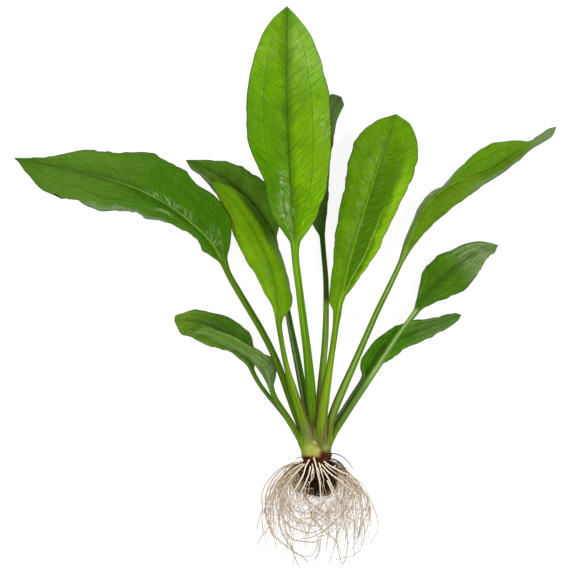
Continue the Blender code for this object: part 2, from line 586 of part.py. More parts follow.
def add_root(name, route, collection, finish):
    """A tapered round strand along the route."""
    curve = bpy.data.curves.new(name, "CURVE")
    curve.dimensions = "3D"
    curve.bevel_depth = ROOT_RADIUS * MM
    curve.bevel_resolution = 1
    curve.use_fill_caps = True
    spline = curve.splines.new("POLY")
    spline.points.add(len(route) - 1)
    for step, (point, place) in enumerate(zip(spline.points, route)):
        down = step / (len(route) - 1)
        point.co = (*(c * MM for c in place), 1.0)
        swell = (1 - ROOT_HEAD_SHARE) * math.sin(math.pi * min(1.0, 2 * down))
        point.radius = ROOT_HEAD_SHARE + swell - ROOT_TIP_LOSS * down**2
    add_object(name, curve, collection, finish)


def add_roots(collection):
    finish = material("root", *ROOT_FINISH)
    routes = [front_route(layer, flat) for layer, flat in FRONT_ROOTS]
    routes += [flank_route(*flank) for flank in FLANK_ROOTS]
    for number, route in enumerate(routes, 1):
        add_root(f"root_{number:02d}", route, collection, finish)


def main():
    clear_scene()
    plant = bpy.data.collections.new("amazon_sword_plant")
    bpy.context.scene.collection.children.link(plant)
    add_leaves(plant)
    add_crown(plant)
    add_core(plant)
    add_roots(plant)


main()
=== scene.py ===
"""Amazon sword plant, bare-rooted and lying on its back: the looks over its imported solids.

Each leaf is one closed skin of blade and stalk, lofted over the same rows as its solid and finer, with
grooved veins and waved margins. The crown, the planting medium and the roots follow their solids too.
Lengths in the tables are millimetres. +Y runs from the roots to the tallest leaf and +Z is up.
"""

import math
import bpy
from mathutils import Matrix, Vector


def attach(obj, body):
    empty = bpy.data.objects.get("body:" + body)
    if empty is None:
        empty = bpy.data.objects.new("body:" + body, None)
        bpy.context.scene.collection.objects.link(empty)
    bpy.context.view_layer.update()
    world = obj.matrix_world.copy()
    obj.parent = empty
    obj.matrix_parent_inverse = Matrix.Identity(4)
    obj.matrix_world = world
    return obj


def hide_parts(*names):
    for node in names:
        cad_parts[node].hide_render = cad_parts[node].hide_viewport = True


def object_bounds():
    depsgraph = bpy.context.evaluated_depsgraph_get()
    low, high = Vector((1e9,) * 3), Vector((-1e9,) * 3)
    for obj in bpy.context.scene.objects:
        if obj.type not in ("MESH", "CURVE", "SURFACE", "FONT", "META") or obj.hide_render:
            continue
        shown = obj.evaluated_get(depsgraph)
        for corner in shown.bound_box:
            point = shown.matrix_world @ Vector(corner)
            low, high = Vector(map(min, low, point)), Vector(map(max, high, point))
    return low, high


bl_info = {
    "name": "Amazon Sword Plant",
    "version": (1, 0, 0),
    "blender": (4, 5, 0),
    "location": "3D View > Sidebar > Sword Plant",
    "description": "Builds a bare-rooted amazon sword plant over its packed solids",
    "category": "Object",
}

import bmesh
import bpy
import numpy as np
from bpy.props import FloatProperty, FloatVectorProperty, IntProperty, PointerProperty
from mathutils import Vector, noise

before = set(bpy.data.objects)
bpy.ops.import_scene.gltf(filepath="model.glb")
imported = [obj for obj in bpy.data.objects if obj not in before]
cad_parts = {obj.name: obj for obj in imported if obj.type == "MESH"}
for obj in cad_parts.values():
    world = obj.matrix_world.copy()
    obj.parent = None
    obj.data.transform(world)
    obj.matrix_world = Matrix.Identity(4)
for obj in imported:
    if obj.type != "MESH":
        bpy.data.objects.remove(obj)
CAD_BOX = [list(corner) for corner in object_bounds()]

MM = 0.001
# The skins stay this far inside the box of the solids.
SKIN_LIMITS = np.array(CAD_BOX) / MM + np.array([[0.01], [-0.01]])
BODY = "root"

# Leaves

# Half depth of a stalk as a share of its half width, its limits, and how far it fades into the blade.
STALK_DEPTH_SHARE = 0.8
STALK_HALF_DEPTHS = (1.12, 1.4)
STALK_FADE = 8.0
BLADE_ARCH = 0.07
RISE_POWER = 1.6
RIB_HALF_BASE = 1.1
RIB_HALF_TIP = 0.35
STALK_STEP = 2.4
BLADE_STEP = 0.95
HALF_SAMPLES = 24
# The lateral vein's share of the half width, at the blade's base and past its first quarter.
LATERAL_BASE = 0.36
LATERAL_SHARE = 0.58
# The scalloped margins: how far one lobe runs, and how far it stands out where a look's scallop is 1.
SCALLOP_LENGTH = 13.0
SCALLOP_DEPTH = 8.0
# The maps of a leaf hold distances as shares of this many mm.
MAP_MM = 100.0
# Samples across a blade lie closer together near its midrib, by this power.
SAMPLE_POWER = 1.35
# Where the blade's half width in mm is less than this, waves and veins are shallower.
NARROW_HALF = 9.0
# The lateral vein moves outward between these shares along the blade.
LATERAL_RISE = (0.02, 0.3)
# How many mm towards the tip a cross-vein runs for each mm outward.
VEIN_SLANT = 0.95
# A leaf's top is eased down over this many mm under the highest point of the solids.
CEILING_EASE = 1.5

# Each leaf from the crown to its tip. A stalk row is x, y, z and half width. A blade row is the midrib's
# x, y, z, then how far the left margin lies from it and how much higher, then the same for the right.
LEAVES = {
    "leaf_tall_centre": {
        "stalk": [
            (16.6, -85.9, 16.4, 2.6), (15.0, -71.4, 17.5, 2.7), (13.3, -52.7, 19.5, 2.7),
            (11.6, -35.0, 22.0, 2.3), (9.3, -16.9, 25.0, 2.1), (7.1, 0.8, 27.0, 2.0), (5.3, 15.2, 28.5, 2.0),
        ],
        "blade": [
            (4.8, 22.7, 29.0, 2.3, 0.0, 3.0, 0.0), (4.3, 29.2, 30.0, 5.5, 1.5, 8.0, 1.5),
            (3.7, 38.3, 31.0, 10.8, 2.5, 14.0, 2.0), (2.9, 50.6, 32.0, 13.8, 2.0, 18.6, 1.0),
            (2.1, 65.0, 33.0, 17.5, 1.0, 21.6, 0.0), (1.3, 82.1, 33.0, 21.9, 0.0, 23.2, -1.5),
            (0.7, 99.8, 31.0, 21.5, -1.0, 22.9, -2.0), (0.5, 118.0, 27.0, 18.5, -2.0, 19.3, -2.0),
            (0.7, 134.0, 21.0, 13.4, -1.5, 13.2, -1.5), (0.8, 143.6, 17.0, 7.6, -0.5, 6.4, -0.5),
            (0.8, 150.4, 13.5, 0.0, 0.0, 0.0, 0.0),
        ],
    },
    "leaf_broad_left": {
        "stalk": [
            (12.4, -85.9, 14.3, 1.8), (8.6, -76.8, 14.3, 1.8), (4.1, -65.0, 14.0, 1.8),
            (0.8, -55.4, 13.8, 1.9), (-2.6, -45.7, 13.5, 1.9), (-7.5, -34.0, 13.2, 1.8),
            (-13.0, -23.3, 13.0, 1.8), (-19.0, -13.1, 12.6, 1.8), (-25.4, -2.4, 12.3, 1.8),
            (-30.8, 7.2, 12.0, 1.7),
        ],
        "blade": [
            (-33.4, 13.1, 12.0, 2.0, -0.3, 2.6, 0.5), (-36.6, 19.0, 12.0, 4.5, -2.0, 8.4, 3.0),
            (-42.0, 26.2, 12.0, 5.6, -3.0, 16.4, 6.0), (-49.0, 32.9, 11.5, 5.2, -4.0, 18.9, 5.0),
            (-57.5, 39.9, 10.5, 7.9, -5.0, 18.1, 3.0), (-68.2, 46.8, 9.5, 11.6, -6.0, 20.6, 1.0),
            (-81.1, 53.2, 8.5, 13.3, -6.5, 20.1, 0.0), (-96.0, 58.0, 7.3, 17.4, -6.8, 14.7, 0.0),
            (-112.1, 62.3, 6.3, 15.6, -5.8, 11.6, -0.5), (-127.1, 65.5, 5.0, 14.4, -4.5, 4.6, -0.5),
            (-138.3, 67.7, 4.0, 6.8, -2.5, 1.7, 0.0), (-146.4, 69.3, 2.8, 0.0, 0.0, 0.0, 0.0),
        ],
    },
    "leaf_dark_left": {
        "stalk": [
            (15.2, -85.9, 11.9, 1.9), (12.6, -74.1, 11.0, 1.8), (10.2, -60.7, 10.0, 1.9),
            (8.1, -49.0, 9.5, 2.1), (5.7, -36.6, 8.7, 2.0), (3.2, -24.3, 8.0, 1.8),
            (0.8, -11.5, 7.2, 1.6), (-1.9, 3.5, 6.5, 1.5),
        ],
        "blade": [
            (-5.1, 19.5, 6.0, 1.8, 0.0, 1.7, 0.0), (-6.7, 25.9, 6.0, 6.0, -0.5, 2.6, 0.3),
            (-10.4, 34.5, 5.8, 11.6, -1.5, 9.4, 0.5), (-16.3, 43.1, 5.4, 13.6, -3.0, 13.2, 0.5),
            (-24.3, 51.1, 4.9, 12.0, -3.0, 11.9, 0.5), (-34.0, 58.6, 4.2, 8.5, -2.5, 9.4, 0.5),
            (-43.6, 63.9, 3.2, 4.9, -1.5, 4.7, 0.3), (-49.5, 66.6, 2.4, 3.5, -0.8, 1.9, 0.2),
            (-53.8, 68.2, 1.6, 0.0, 0.0, 0.0, 0.0),
        ],
    },
    "leaf_narrow_left": {
        "stalk": [
            (13.7, -85.9, 19.5, 2.6), (11.0, -75.7, 20.0, 2.8), (7.5, -66.1, 20.0, 2.6),
            (4.1, -55.4, 20.0, 2.2), (0.5, -42.5, 19.5, 1.5), (-1.8, -31.3, 19.0, 1.4),
            (-3.3, -22.2, 18.5, 1.5),
        ],
        "blade": [
            (-4.0, -17.9, 18.3, 1.5, 0.0, 2.6, 0.0), (-4.3, -9.9, 18.0, 3.1, 0.3, 7.8, 0.3),
            (-5.1, -1.9, 17.5, 6.7, 0.3, 7.8, 0.0), (-7.5, 8.8, 16.5, 8.9, 0.0, 7.6, -1.0),
            (-12.0, 20.1, 15.5, 11.1, -1.0, 7.8, -2.5), (-17.9, 31.3, 14.3, 10.6, -1.5, 8.2, -4.0),
            (-25.4, 42.5, 13.0, 7.9, -1.5, 7.2, -4.0), (-31.8, 50.0, 11.5, 5.2, -1.0, 4.3, -2.5),
            (-36.6, 54.3, 10.4, 2.9, -0.5, 1.9, -0.8), (-39.3, 56.2, 9.6, 0.0, 0.0, 0.0, 0.0),
        ],
    },
    "leaf_low_left": {
        "stalk": [
            (10.4, -85.9, 11.1, 1.8), (6.3, -78.9, 10.5, 1.7), (1.4, -71.4, 9.5, 1.6),
            (-4.3, -64.5, 8.6, 1.3), (-10.0, -57.8, 8.0, 1.2), (-14.8, -51.1, 7.2, 1.2),
        ],
        "blade": [
            (-17.7, -45.2, 6.5, 1.5, 0.0, 1.2, 0.0), (-19.0, -40.9, 6.0, 2.7, -0.5, 2.9, 0.2),
            (-21.7, -35.6, 5.5, 4.9, -1.0, 5.7, 0.3), (-26.5, -29.7, 5.0, 6.9, -1.5, 8.6, 0.3),
            (-32.9, -24.9, 4.6, 9.5, -2.0, 8.3, 0.0), (-40.9, -21.1, 4.2, 10.5, -2.3, 7.3, -0.5),
            (-49.0, -18.5, 3.4, 8.9, -2.3, 6.2, -0.8), (-55.4, -17.9, 2.5, 8.3, -1.6, 3.7, -0.8),
            (-58.6, -18.2, 1.8, 6.2, -0.9, 2.4, -0.5), (-59.9, -18.6, 1.4, 0.0, 0.0, 0.0, 0.0),
        ],
    },
    "leaf_turned_left": {
        "stalk": [
            (9.8, -85.9, 17.1, 1.7), (6.5, -79.4, 16.5, 1.8), (2.1, -72.0, 15.7, 1.8),
            (-2.1, -65.5, 14.9, 1.6), (-5.5, -59.9, 14.0, 1.4),
        ],
        "blade": [
            (-7.7, -54.3, 13.0, 1.5, 0.0, 1.6, 0.0), (-9.0, -49.0, 12.2, 2.5, -0.5, 4.2, -1.2),
            (-11.4, -43.6, 11.7, 3.1, -0.8, 6.9, -2.6), (-15.8, -39.1, 11.4, 2.8, -1.0, 5.0, -2.2),
            (-21.7, -35.3, 11.0, 1.7, -1.2, 4.5, -1.0), (-28.6, -31.3, 10.6, 2.0, -1.2, 4.4, -0.6),
            (-36.1, -27.8, 10.0, 2.6, -1.2, 4.0, -0.5), (-42.5, -25.1, 9.2, 1.6, -0.8, 3.4, -0.5),
            (-47.3, -24.6, 8.5, 1.2, -0.4, 1.8, -0.3), (-50.6, -25.4, 8.0, 0.0, 0.0, 0.0, 0.0),
        ],
    },
    "leaf_back_centre": {
        "stalk": [
            (19.8, -85.9, 13.3, 1.8), (18.2, -71.4, 13.0, 1.7), (18.3, -58.0, 12.4, 1.7),
            (19.5, -47.3, 11.6, 1.8), (21.1, -31.3, 10.2, 1.8), (21.8, -12.6, 9.0, 1.6),
            (21.7, 3.5, 8.3, 1.5), (20.6, 16.9, 7.5, 1.4),
        ],
        "blade": [
            (19.8, 26.5, 7.2, 1.5, 0.0, 1.5, 0.0), (19.5, 31.3, 7.0, 3.7, -0.3, 2.0, 0.0),
            (18.7, 39.9, 6.5, 6.6, -0.8, 3.7, 0.0), (18.2, 51.6, 5.8, 7.1, -1.0, 5.1, 0.3),
            (18.7, 65.0, 5.0, 6.8, -1.2, 5.0, 0.3), (20.1, 78.4, 4.2, 5.8, -1.5, 5.7, 0.3),
            (22.7, 89.1, 3.2, 5.4, -1.7, 4.9, 0.3), (25.9, 96.6, 2.2, 5.3, -1.5, 4.6, 0.5),
            (28.5, 100.4, 1.6, 5.2, -1.0, 4.1, 0.5), (30.2, 102.2, 1.3, 0.0, 0.0, 0.0, 0.0),
        ],
    },
    "leaf_upright_right": {
        "stalk": [
            (19.5, -85.9, 19.5, 2.6), (19.3, -74.1, 20.0, 3.0), (20.6, -60.7, 20.3, 2.9),
            (22.7, -47.9, 20.8, 2.2), (24.9, -35.0, 21.4, 1.7), (26.6, -23.3, 22.0, 1.7),
        ],
        "blade": [
            (27.9, -13.6, 22.2, 2.6, 0.0, 2.1, 0.0), (28.7, -8.8, 22.5, 5.7, 0.5, 2.1, 0.3),
            (30.8, -1.9, 23.0, 7.2, 1.0, 3.8, 0.5), (33.2, 8.8, 24.0, 8.3, 0.5, 8.2, 1.0),
            (36.4, 21.1, 25.0, 10.8, -0.5, 12.6, 1.0), (40.4, 34.5, 26.0, 12.7, -1.5, 15.0, 0.5),
            (44.9, 49.0, 26.0, 14.0, -2.0, 16.7, 0.0), (49.5, 63.4, 25.0, 16.2, -2.5, 19.1, -1.0),
            (53.8, 76.2, 23.0, 15.2, -2.0, 17.9, -1.5), (56.7, 84.8, 21.0, 9.8, -1.0, 13.9, -1.0),
            (58.3, 89.3, 19.6, 4.8, -0.4, 9.2, -0.5), (59.1, 92.3, 18.6, 0.0, 0.0, 0.0, 0.0),
        ],
    },
    "leaf_long_right": {
        "stalk": [
            (22.6, -85.9, 17.1, 1.7), (23.4, -75.2, 17.0, 2.2), (26.6, -65.0, 17.0, 2.3),
            (30.8, -54.8, 17.0, 2.2), (36.5, -42.0, 17.3, 1.9), (42.8, -27.6, 18.0, 1.7),
            (49.2, -13.1, 18.7, 1.6), (55.7, 0.3, 19.5, 1.5), (61.2, 12.0, 20.2, 1.4),
        ],
        "blade": [
            (63.9, 17.9, 20.5, 2.2, -0.6, 2.0, 0.0), (66.6, 24.9, 21.0, 2.6, -4.0, 3.9, -1.0),
            (70.4, 34.0, 21.5, 2.6, -7.5, 7.1, -2.0), (75.2, 42.5, 22.0, 3.4, -9.0, 9.7, -3.0),
            (80.5, 48.4, 22.0, 3.4, -9.0, 10.5, -3.0), (86.4, 53.0, 21.5, 2.6, -8.0, 10.6, -2.0),
            (93.4, 56.4, 20.5, 5.8, -6.0, 9.6, 0.0), (100.8, 58.9, 19.5, 9.7, -4.0, 7.3, 3.0),
            (108.3, 61.5, 18.0, 12.4, -2.5, 5.1, 5.0), (116.4, 66.1, 16.0, 12.4, -2.0, 4.2, 6.0),
            (124.4, 71.4, 14.0, 8.2, -3.0, 3.5, 5.0), (131.3, 75.7, 12.0, 3.1, -3.0, 2.1, 3.0),
            (138.3, 80.5, 10.0, 1.9, -1.2, 2.8, 1.2), (145.8, 85.9, 8.0, 0.0, 0.0, 0.0, 0.0),
        ],
    },
    "leaf_mid_right": {
        "stalk": [
            (23.0, -85.9, 13.3, 1.5), (26.4, -78.4, 13.2, 1.7), (31.1, -70.9, 13.0, 1.7),
            (36.6, -62.3, 12.8, 1.7), (42.0, -54.0, 12.6, 1.8), (47.6, -45.5, 12.4, 1.8),
            (53.5, -36.6, 12.2, 1.7), (59.6, -27.6, 12.0, 1.6), (65.6, -19.3, 12.0, 1.4),
        ],
        "blade": [
            (70.0, -13.1, 12.0, 1.5, 0.0, 2.0, 0.0), (72.0, -8.8, 12.2, 2.3, 0.5, 4.2, -0.5),
            (75.7, -4.3, 12.0, 5.5, 1.0, 6.5, -1.5), (81.1, 1.3, 11.5, 10.2, 1.0, 10.0, -2.5),
            (87.5, 7.5, 11.0, 10.7, 0.5, 12.7, -4.0), (93.9, 12.8, 10.0, 8.6, 0.0, 12.0, -4.5),
            (100.8, 17.4, 8.4, 6.6, -0.5, 9.2, -4.0), (107.8, 20.3, 6.2, 4.2, -0.5, 4.8, -2.0),
            (114.8, 22.2, 4.0, 0.0, 0.0, 0.0, 0.0),
        ],
    },
    "leaf_low_right": {
        "stalk": [
            (21.8, -85.9, 10.5, 1.7), (24.3, -78.4, 10.0, 1.6), (28.4, -70.9, 9.5, 1.5),
            (33.2, -63.4, 9.0, 1.5), (37.6, -56.6, 8.4, 1.5), (41.0, -51.6, 7.7, 1.6),
        ],
        "blade": [
            (42.8, -48.6, 7.2, 2.0, 0.0, 1.6, 0.0), (44.2, -45.4, 7.1, 4.5, 0.2, 2.6, -0.3),
            (46.0, -41.6, 7.0, 5.8, 0.3, 4.4, -0.7), (48.8, -37.3, 6.8, 5.6, 0.5, 6.0, -1.5),
            (53.8, -32.1, 6.2, 6.1, 0.5, 7.8, -3.0), (61.3, -27.6, 5.6, 6.5, 0.3, 6.8, -3.5),
            (70.4, -23.8, 5.0, 6.0, 0.0, 6.4, -3.2), (80.0, -20.6, 4.0, 3.8, 0.0, 5.1, -2.5),
            (88.0, -17.7, 2.5, 2.9, 0.0, 4.0, -1.6), (95.0, -15.2, 1.0, 0.0, 0.0, 0.0, 0.0),
        ],
    },
}

# How each leaf looks. Colours are linear. shade is how strongly painted shade darkens the blade towards its
# midrib, over how many mm. cross, long and speckle are the strengths of the cross-veins, of lines along the
# blade and of fine grain. A patch tints part of the blade, some with its own tone, some with painted shade
# and some
# with painted sheen: signed shares across from and to (the left margin is -1), shares along from and to,
# softness, colour and strength. A sheath is a papery brown margin of the stalk: its side, and its start and
# end in mm from the crown. Glints are glossier parts with painted highlight strokes in their colour, given as
# the patches are, with whether their strokes run lengthwise. A lobe of the margin is its side, its place and
# length as shares along the blade, and how many mm it stands out. Of the stalk, a band is its start, end
# and softness in mm from the crown, colour and strength, and a gleam is its painted highlight stripe: shares
# across from and to, colour and strength. lateral_sides are the strengths of the left and the right lateral
# vein, and rib is that of the midrib. lateral_end and rib_end are the shares along the blade where they
# have faded out.
SHARED_LOOK = {
    "shade": (0.3, 3.0), "cross": 0.35, "long": 0.5, "speckle": 0.35, "ruffle": 0.7, "waves": 4.0,
    "scallop": 0.03, "patches": [], "glints": [], "lobes": [], "sheaths": [], "bands": [],
    "lateral_sides": (1.0, 1.0), "lateral_end": 0.98, "rib": 0.85, "rib_end": 1.3,
}
LOOKS = {
    "leaf_tall_centre": {
        "blade": (0.12, 0.275, 0.002), "deep": (0.085, 0.215, 0.001), "midrib": (0.02, 0.1, 0.002),
        "lateral": (0.05, 0.16, 0.002), "margin": (0.035, 0.06, 0.012), "stalk": (0.125, 0.27, 0.002),
        "stalk_dark": (0.035, 0.125, 0.001), "ruffle": 0.55, "waves": 4.5, "scallop": 0.014,
        "shade": (0.6, 5.5), "cross": 0.55, "long": 0.12, "gleam": (-0.3, 0.1, (0.23, 0.4, 0.02), 0.6),
        "bands": [(-10.0, 55.0, 45.0, (0.045, 0.125, 0.001), 0.75)],
        "patches": [
            # Painted sheen over the upper right.
            (0.05, 1.0, 0.68, 0.93, 0.25, (0.17, 0.33, 0.035), 0.55),
            (0.35, 1.2, 0.28, 0.55, 0.3, (0.12, 0.24, 0.003), 0.6),
            # Painted shade over the left half, from the base to past its middle.
            (-1.2, -0.1, 0.2, 0.62, 0.3, (0.06, 0.17, 0.001), 0.75),
            (-1.2, -0.2, 0.0, 0.3, 0.15, (0.04, 0.13, 0.001), 0.75),
        ],
        "glints": [
            (-0.4, -0.05, 0.2, 0.3, 0.08, 1.0, False), (-0.5, -0.02, 0.0, 0.2, 0.12, 1.0, True),
            (-0.85, -0.4, 0.1, 0.16, 0.06, 1.0, False), (0.3, 1.1, 0.66, 0.9, 0.25, 0.5, False),
            (0.7, 1.1, 0.42, 0.54, 0.1, 0.8, False), (-0.8, -0.3, 0.75, 0.88, 0.15, 0.3, False),
        ],
        "lobes": [
            (-1, 0.26, 0.05, -1.6), (1, 0.21, 0.03, 0.6), (1, 0.15, 0.02, -0.6), (1, 0.35, 0.02, 0.4),
            (1, 0.69, 0.03, -0.5),
        ],
    },
    "leaf_broad_left": {
        # The light midrib colour is a painted highlight along the fold at the midrib.
        "blade": (0.04, 0.13, 0.002), "deep": (0.029, 0.104, 0.001), "midrib": (0.15, 0.28, 0.03),
        "lateral": (0.022, 0.075, 0.002), "margin": (0.03, 0.06, 0.012), "stalk": (0.095, 0.18, 0.005),
        "stalk_dark": (0.014, 0.055, 0.001), "ruffle": 1.5, "waves": 5.0, "scallop": 0.04,
        "shade": (0.35, 5.0), "cross": 0.3, "long": 0.4, "speckle": 0.3, "lateral_sides": (0.45, 0.3),
        "rib": 0.75, "rib_end": 0.75, "gleam": (-0.6, 0.0, (0.1, 0.2, 0.01), 0.5),
        "bands": [(-5.0, 60.0, 40.0, (0.045, 0.11, 0.002), 0.5)],
        "patches": [
            (-1.2, 1.2, 0.5, 1.0, 0.4, (0.075, 0.16, 0.015), 0.7),
            (0.2, 1.2, 0.0, 0.35, 0.3, (0.03, 0.105, 0.001), 0.7),
            (-1.3, -0.86, 0.3, 0.66, 0.1, (0.15, 0.2, 0.1), 0.7),
            # Painted shade just below the midrib.
            (-0.3, 0.0, 0.1, 0.5, 0.12, (0.022, 0.085, 0.001), 0.6),
        ],
        "glints": [
            (0.0, 0.2, 0.22, 0.42, 0.08, 1.0, False), (0.1, 0.45, 0.03, 0.13, 0.08, 0.8, False),
            (0.1, 0.3, 0.5, 0.58, 0.1, 0.25, False), (-0.55, -0.4, 0.28, 0.48, 0.08, 0.5, True),
        ],
        "lobes": [
            (-1, 0.088, 0.022, 1.5), (-1, 0.15, 0.025, -0.8), (-1, 0.225, 0.03, 0.5),
            (-1, 0.325, 0.02, -0.7), (-1, 0.388, 0.02, 0.6), (-1, 0.437, 0.014, -0.9),
            (-1, 0.49, 0.02, 0.6), (-1, 0.6, 0.025, 0.9), (-1, 0.7, 0.025, -0.5), (-1, 0.775, 0.025, 1.5),
            (-1, 0.975, 0.02, -0.6), (1, 0.33, 0.03, 0.6), (1, 0.41, 0.02, -0.6), (1, 0.463, 0.018, 1.1),
            (1, 0.54, 0.03, -0.9),
        ],
    },
    "leaf_dark_left": {
        "blade": (0.075, 0.165, 0.012), "deep": (0.048, 0.125, 0.006), "midrib": (0.022, 0.06, 0.005),
        "lateral": (0.02, 0.06, 0.004), "margin": (0.03, 0.05, 0.02), "stalk": (0.05, 0.13, 0.004),
        "stalk_dark": (0.015, 0.05, 0.002), "ruffle": 0.8, "shade": (0.3, 4.0), "cross": 0.2, "long": 0.55,
        "lateral_sides": (0.5, 0.4), "rib": 0.35, "gleam": (-0.8, -0.1, (0.2, 0.3, 0.11), 0.7),
        "patches": [
            (-1.2, -0.62, 0.3, 1.0, 0.2, (0.15, 0.2, 0.12), 0.75),
        ],
        "lobes": [
            (1, 0.075, 0.03, -1.1), (1, 0.54, 0.02, -0.7), (1, 0.625, 0.02, 0.9),
        ],
    },
    "leaf_narrow_left": {
        "blade": (0.125, 0.255, 0.002), "deep": (0.09, 0.215, 0.001), "midrib": (0.06, 0.15, 0.001),
        "lateral": (0.17, 0.3, 0.01), "margin": (0.06, 0.13, 0.004), "stalk": (0.12, 0.22, 0.004),
        "stalk_dark": (0.04, 0.1, 0.002), "ruffle": 0.5, "scallop": 0.015, "shade": (0.15, 3.0),
        "cross": 0.12, "long": 0.45, "speckle": 0.2, "lateral_sides": (1.0, 0.2), "rib": 0.4,
        "rib_end": 0.55, "gleam": (0.0, 0.6, (0.17, 0.3, 0.01), 0.6),
        "sheaths": [(1, 3.0, 29.0), (-1, 2.0, 16.0)], "glints": [(-0.5, 0.1, 0.1, 0.4, 0.2, 0.12, True)],
        "lobes": [(1, 0.05, 0.025, -0.8), (1, 0.13, 0.03, 0.6)],
        "patches": [
            # Painted shade over the right half, which turns down.
            (0.52, 1.3, 0.44, 0.84, 0.3, (0.018, 0.058, 0.001), 0.95),
            (0.8, 1.2, 0.1, 0.45, 0.2, (0.12, 0.15, 0.08), 0.7),
        ],
    },
    "leaf_low_left": {
        "blade": (0.1, 0.195, 0.015), "deep": (0.06, 0.138, 0.008), "midrib": (0.03, 0.085, 0.004),
        "lateral": (0.03, 0.085, 0.005), "margin": (0.04, 0.06, 0.02), "stalk": (0.055, 0.15, 0.002),
        "stalk_dark": (0.015, 0.06, 0.001), "waves": 3.5, "cross": 0.25, "rib": 0.6, "rib_end": 0.7,
        "gleam": (-0.5, 0.0, (0.12, 0.22, 0.05), 0.5), "glints": [(-0.6, 0.3, 0.3, 0.8, 0.3, 0.25, True)],
        "lobes": [(-1, 0.99, 0.02, 1.8), (1, 0.99, 0.02, 0.8)],
        "patches": [
            (0.0, 1.2, 0.1, 0.75, 0.3, (0.035, 0.095, 0.005), 0.8),
        ],
    },
    "leaf_turned_left": {
        "blade": (0.11, 0.19, 0.045), "deep": (0.075, 0.145, 0.024), "midrib": (0.13, 0.21, 0.06),
        "lateral": (0.055, 0.115, 0.02), "margin": (0.07, 0.1, 0.03), "stalk": (0.06, 0.16, 0.003),
        "stalk_dark": (0.018, 0.07, 0.001), "ruffle": 0.5, "waves": 3.0, "shade": (0.2, 2.0), "cross": 0.3,
        "long": 0.8, "gleam": (-0.5, 0.1, (0.12, 0.24, 0.03), 0.5),
        "glints": [(-1.1, 1.1, 0.05, 0.6, 0.3, 0.25, True)],
        "patches": [
            (-1.2, 1.2, 0.45, 1.0, 0.35, (0.085, 0.18, 0.018), 0.85),
            (-1.2, 1.2, 0.0, 0.22, 0.25, (0.05, 0.095, 0.034), 0.8),
            (-1.2, -0.4, 0.1, 0.4, 0.2, (0.05, 0.1, 0.02), 0.5),
        ],
    },
    "leaf_back_centre": {
        "blade": (0.04, 0.085, 0.01), "deep": (0.025, 0.06, 0.005), "midrib": (0.035, 0.08, 0.012),
        "lateral": (0.025, 0.06, 0.008), "margin": (0.04, 0.06, 0.02), "stalk": (0.19, 0.33, 0.024),
        "stalk_dark": (0.05, 0.125, 0.003), "ruffle": 0.5, "scallop": 0.02, "cross": 0.2, "speckle": 0.3,
        "gleam": (-0.2, 0.5, (0.29, 0.45, 0.07), 0.6),
        "bands": [(78.0, 200.0, 6.0, (0.02, 0.046, 0.004), 0.94)],
        "patches": [
            (-1.2, 1.2, 0.74, 1.0, 0.2, (0.1, 0.17, 0.05), 0.85),
        ],
    },
    "leaf_upright_right": {
        "blade": (0.092, 0.21, 0.001), "deep": (0.068, 0.17, 0.001), "midrib": (0.17, 0.3, 0.012),
        "lateral": (0.27, 0.42, 0.05), "margin": (0.05, 0.1, 0.006), "stalk": (0.14, 0.24, 0.003),
        "stalk_dark": (0.04, 0.12, 0.001), "ruffle": 0.9, "waves": 6.0, "shade": (0.25, 3.5), "cross": 0.45,
        "long": 0.2, "speckle": 0.3, "lateral_sides": (0.15, 0.85), "lateral_end": 0.62, "rib_end": 0.9,
        "gleam": (-0.2, 0.4, (0.23, 0.36, 0.01), 0.6), "sheaths": [(-1, 10.0, 38.0)],
        "glints": [(-0.45, 0.0, 0.3, 0.85, 0.2, 0.3, False)],
        "patches": [
            # Painted light along the right margin, then painted shade over the right half inside it.
            (0.72, 1.2, 0.1, 0.75, 0.2, (0.17, 0.33, 0.004), 0.75),
            (0.05, 0.7, 0.1, 0.8, 0.3, (0.04, 0.115, 0.001), 0.85),
            (-1.2, -0.8, 0.1, 0.6, 0.2, (0.06, 0.16, 0.001), 0.7),
        ],
        "lobes": [
            (-1, 0.8, 0.025, 1.2), (-1, 0.865, 0.015, -0.4), (-1, 0.29, 0.02, -0.3),
            (1, 0.088, 0.015, -0.8), (1, 0.4, 0.025, -0.5), (1, 0.49, 0.012, -0.6), (1, 0.54, 0.018, 0.5),
            (1, 0.625, 0.018, 0.6), (1, 0.685, 0.014, -0.6), (1, 0.81, 0.018, 0.6),
        ],
    },
    "leaf_long_right": {
        # The light midrib colour is a painted highlight along the fold line.
        "blade": (0.088, 0.178, 0.003), "deep": (0.062, 0.138, 0.002), "midrib": (0.13, 0.26, 0.02),
        "lateral": (0.05, 0.12, 0.003), "margin": (0.06, 0.1, 0.02), "stalk": (0.1, 0.19, 0.004),
        "stalk_dark": (0.035, 0.095, 0.001), "ruffle": 0.4, "waves": 3.0, "scallop": 0.02,
        "shade": (0.12, 3.0), "cross": 0.2, "long": 0.4, "speckle": 0.25, "lateral_sides": (0.4, 0.4),
        "rib": 0.6, "gleam": (-0.3, 0.3, (0.24, 0.36, 0.09), 0.75), "sheaths": [(-1, 1.0, 27.0)],
        "glints": [(-0.5, 0.0, 0.5, 0.8, 0.2, 0.06, False)],
        "patches": [
            (-1.2, -0.05, 0.42, 0.84, 0.12, (0.072, 0.178, 0.002), 0.9),
            # Painted sheen: a grey strip near the lower margin.
            (0.62, 1.3, 0.5, 0.95, 0.2, (0.12, 0.16, 0.08), 0.7),
            (-1.2, 1.2, 0.86, 1.0, 0.08, (0.13, 0.18, 0.085), 0.85),
            (-1.2, -0.3, 0.0, 0.14, 0.1, (0.12, 0.16, 0.08), 0.5),
        ],
        "lobes": [
            (-1, 0.363, 0.018, -0.8), (-1, 0.812, 0.02, 0.6), (-1, 0.865, 0.02, -0.7),
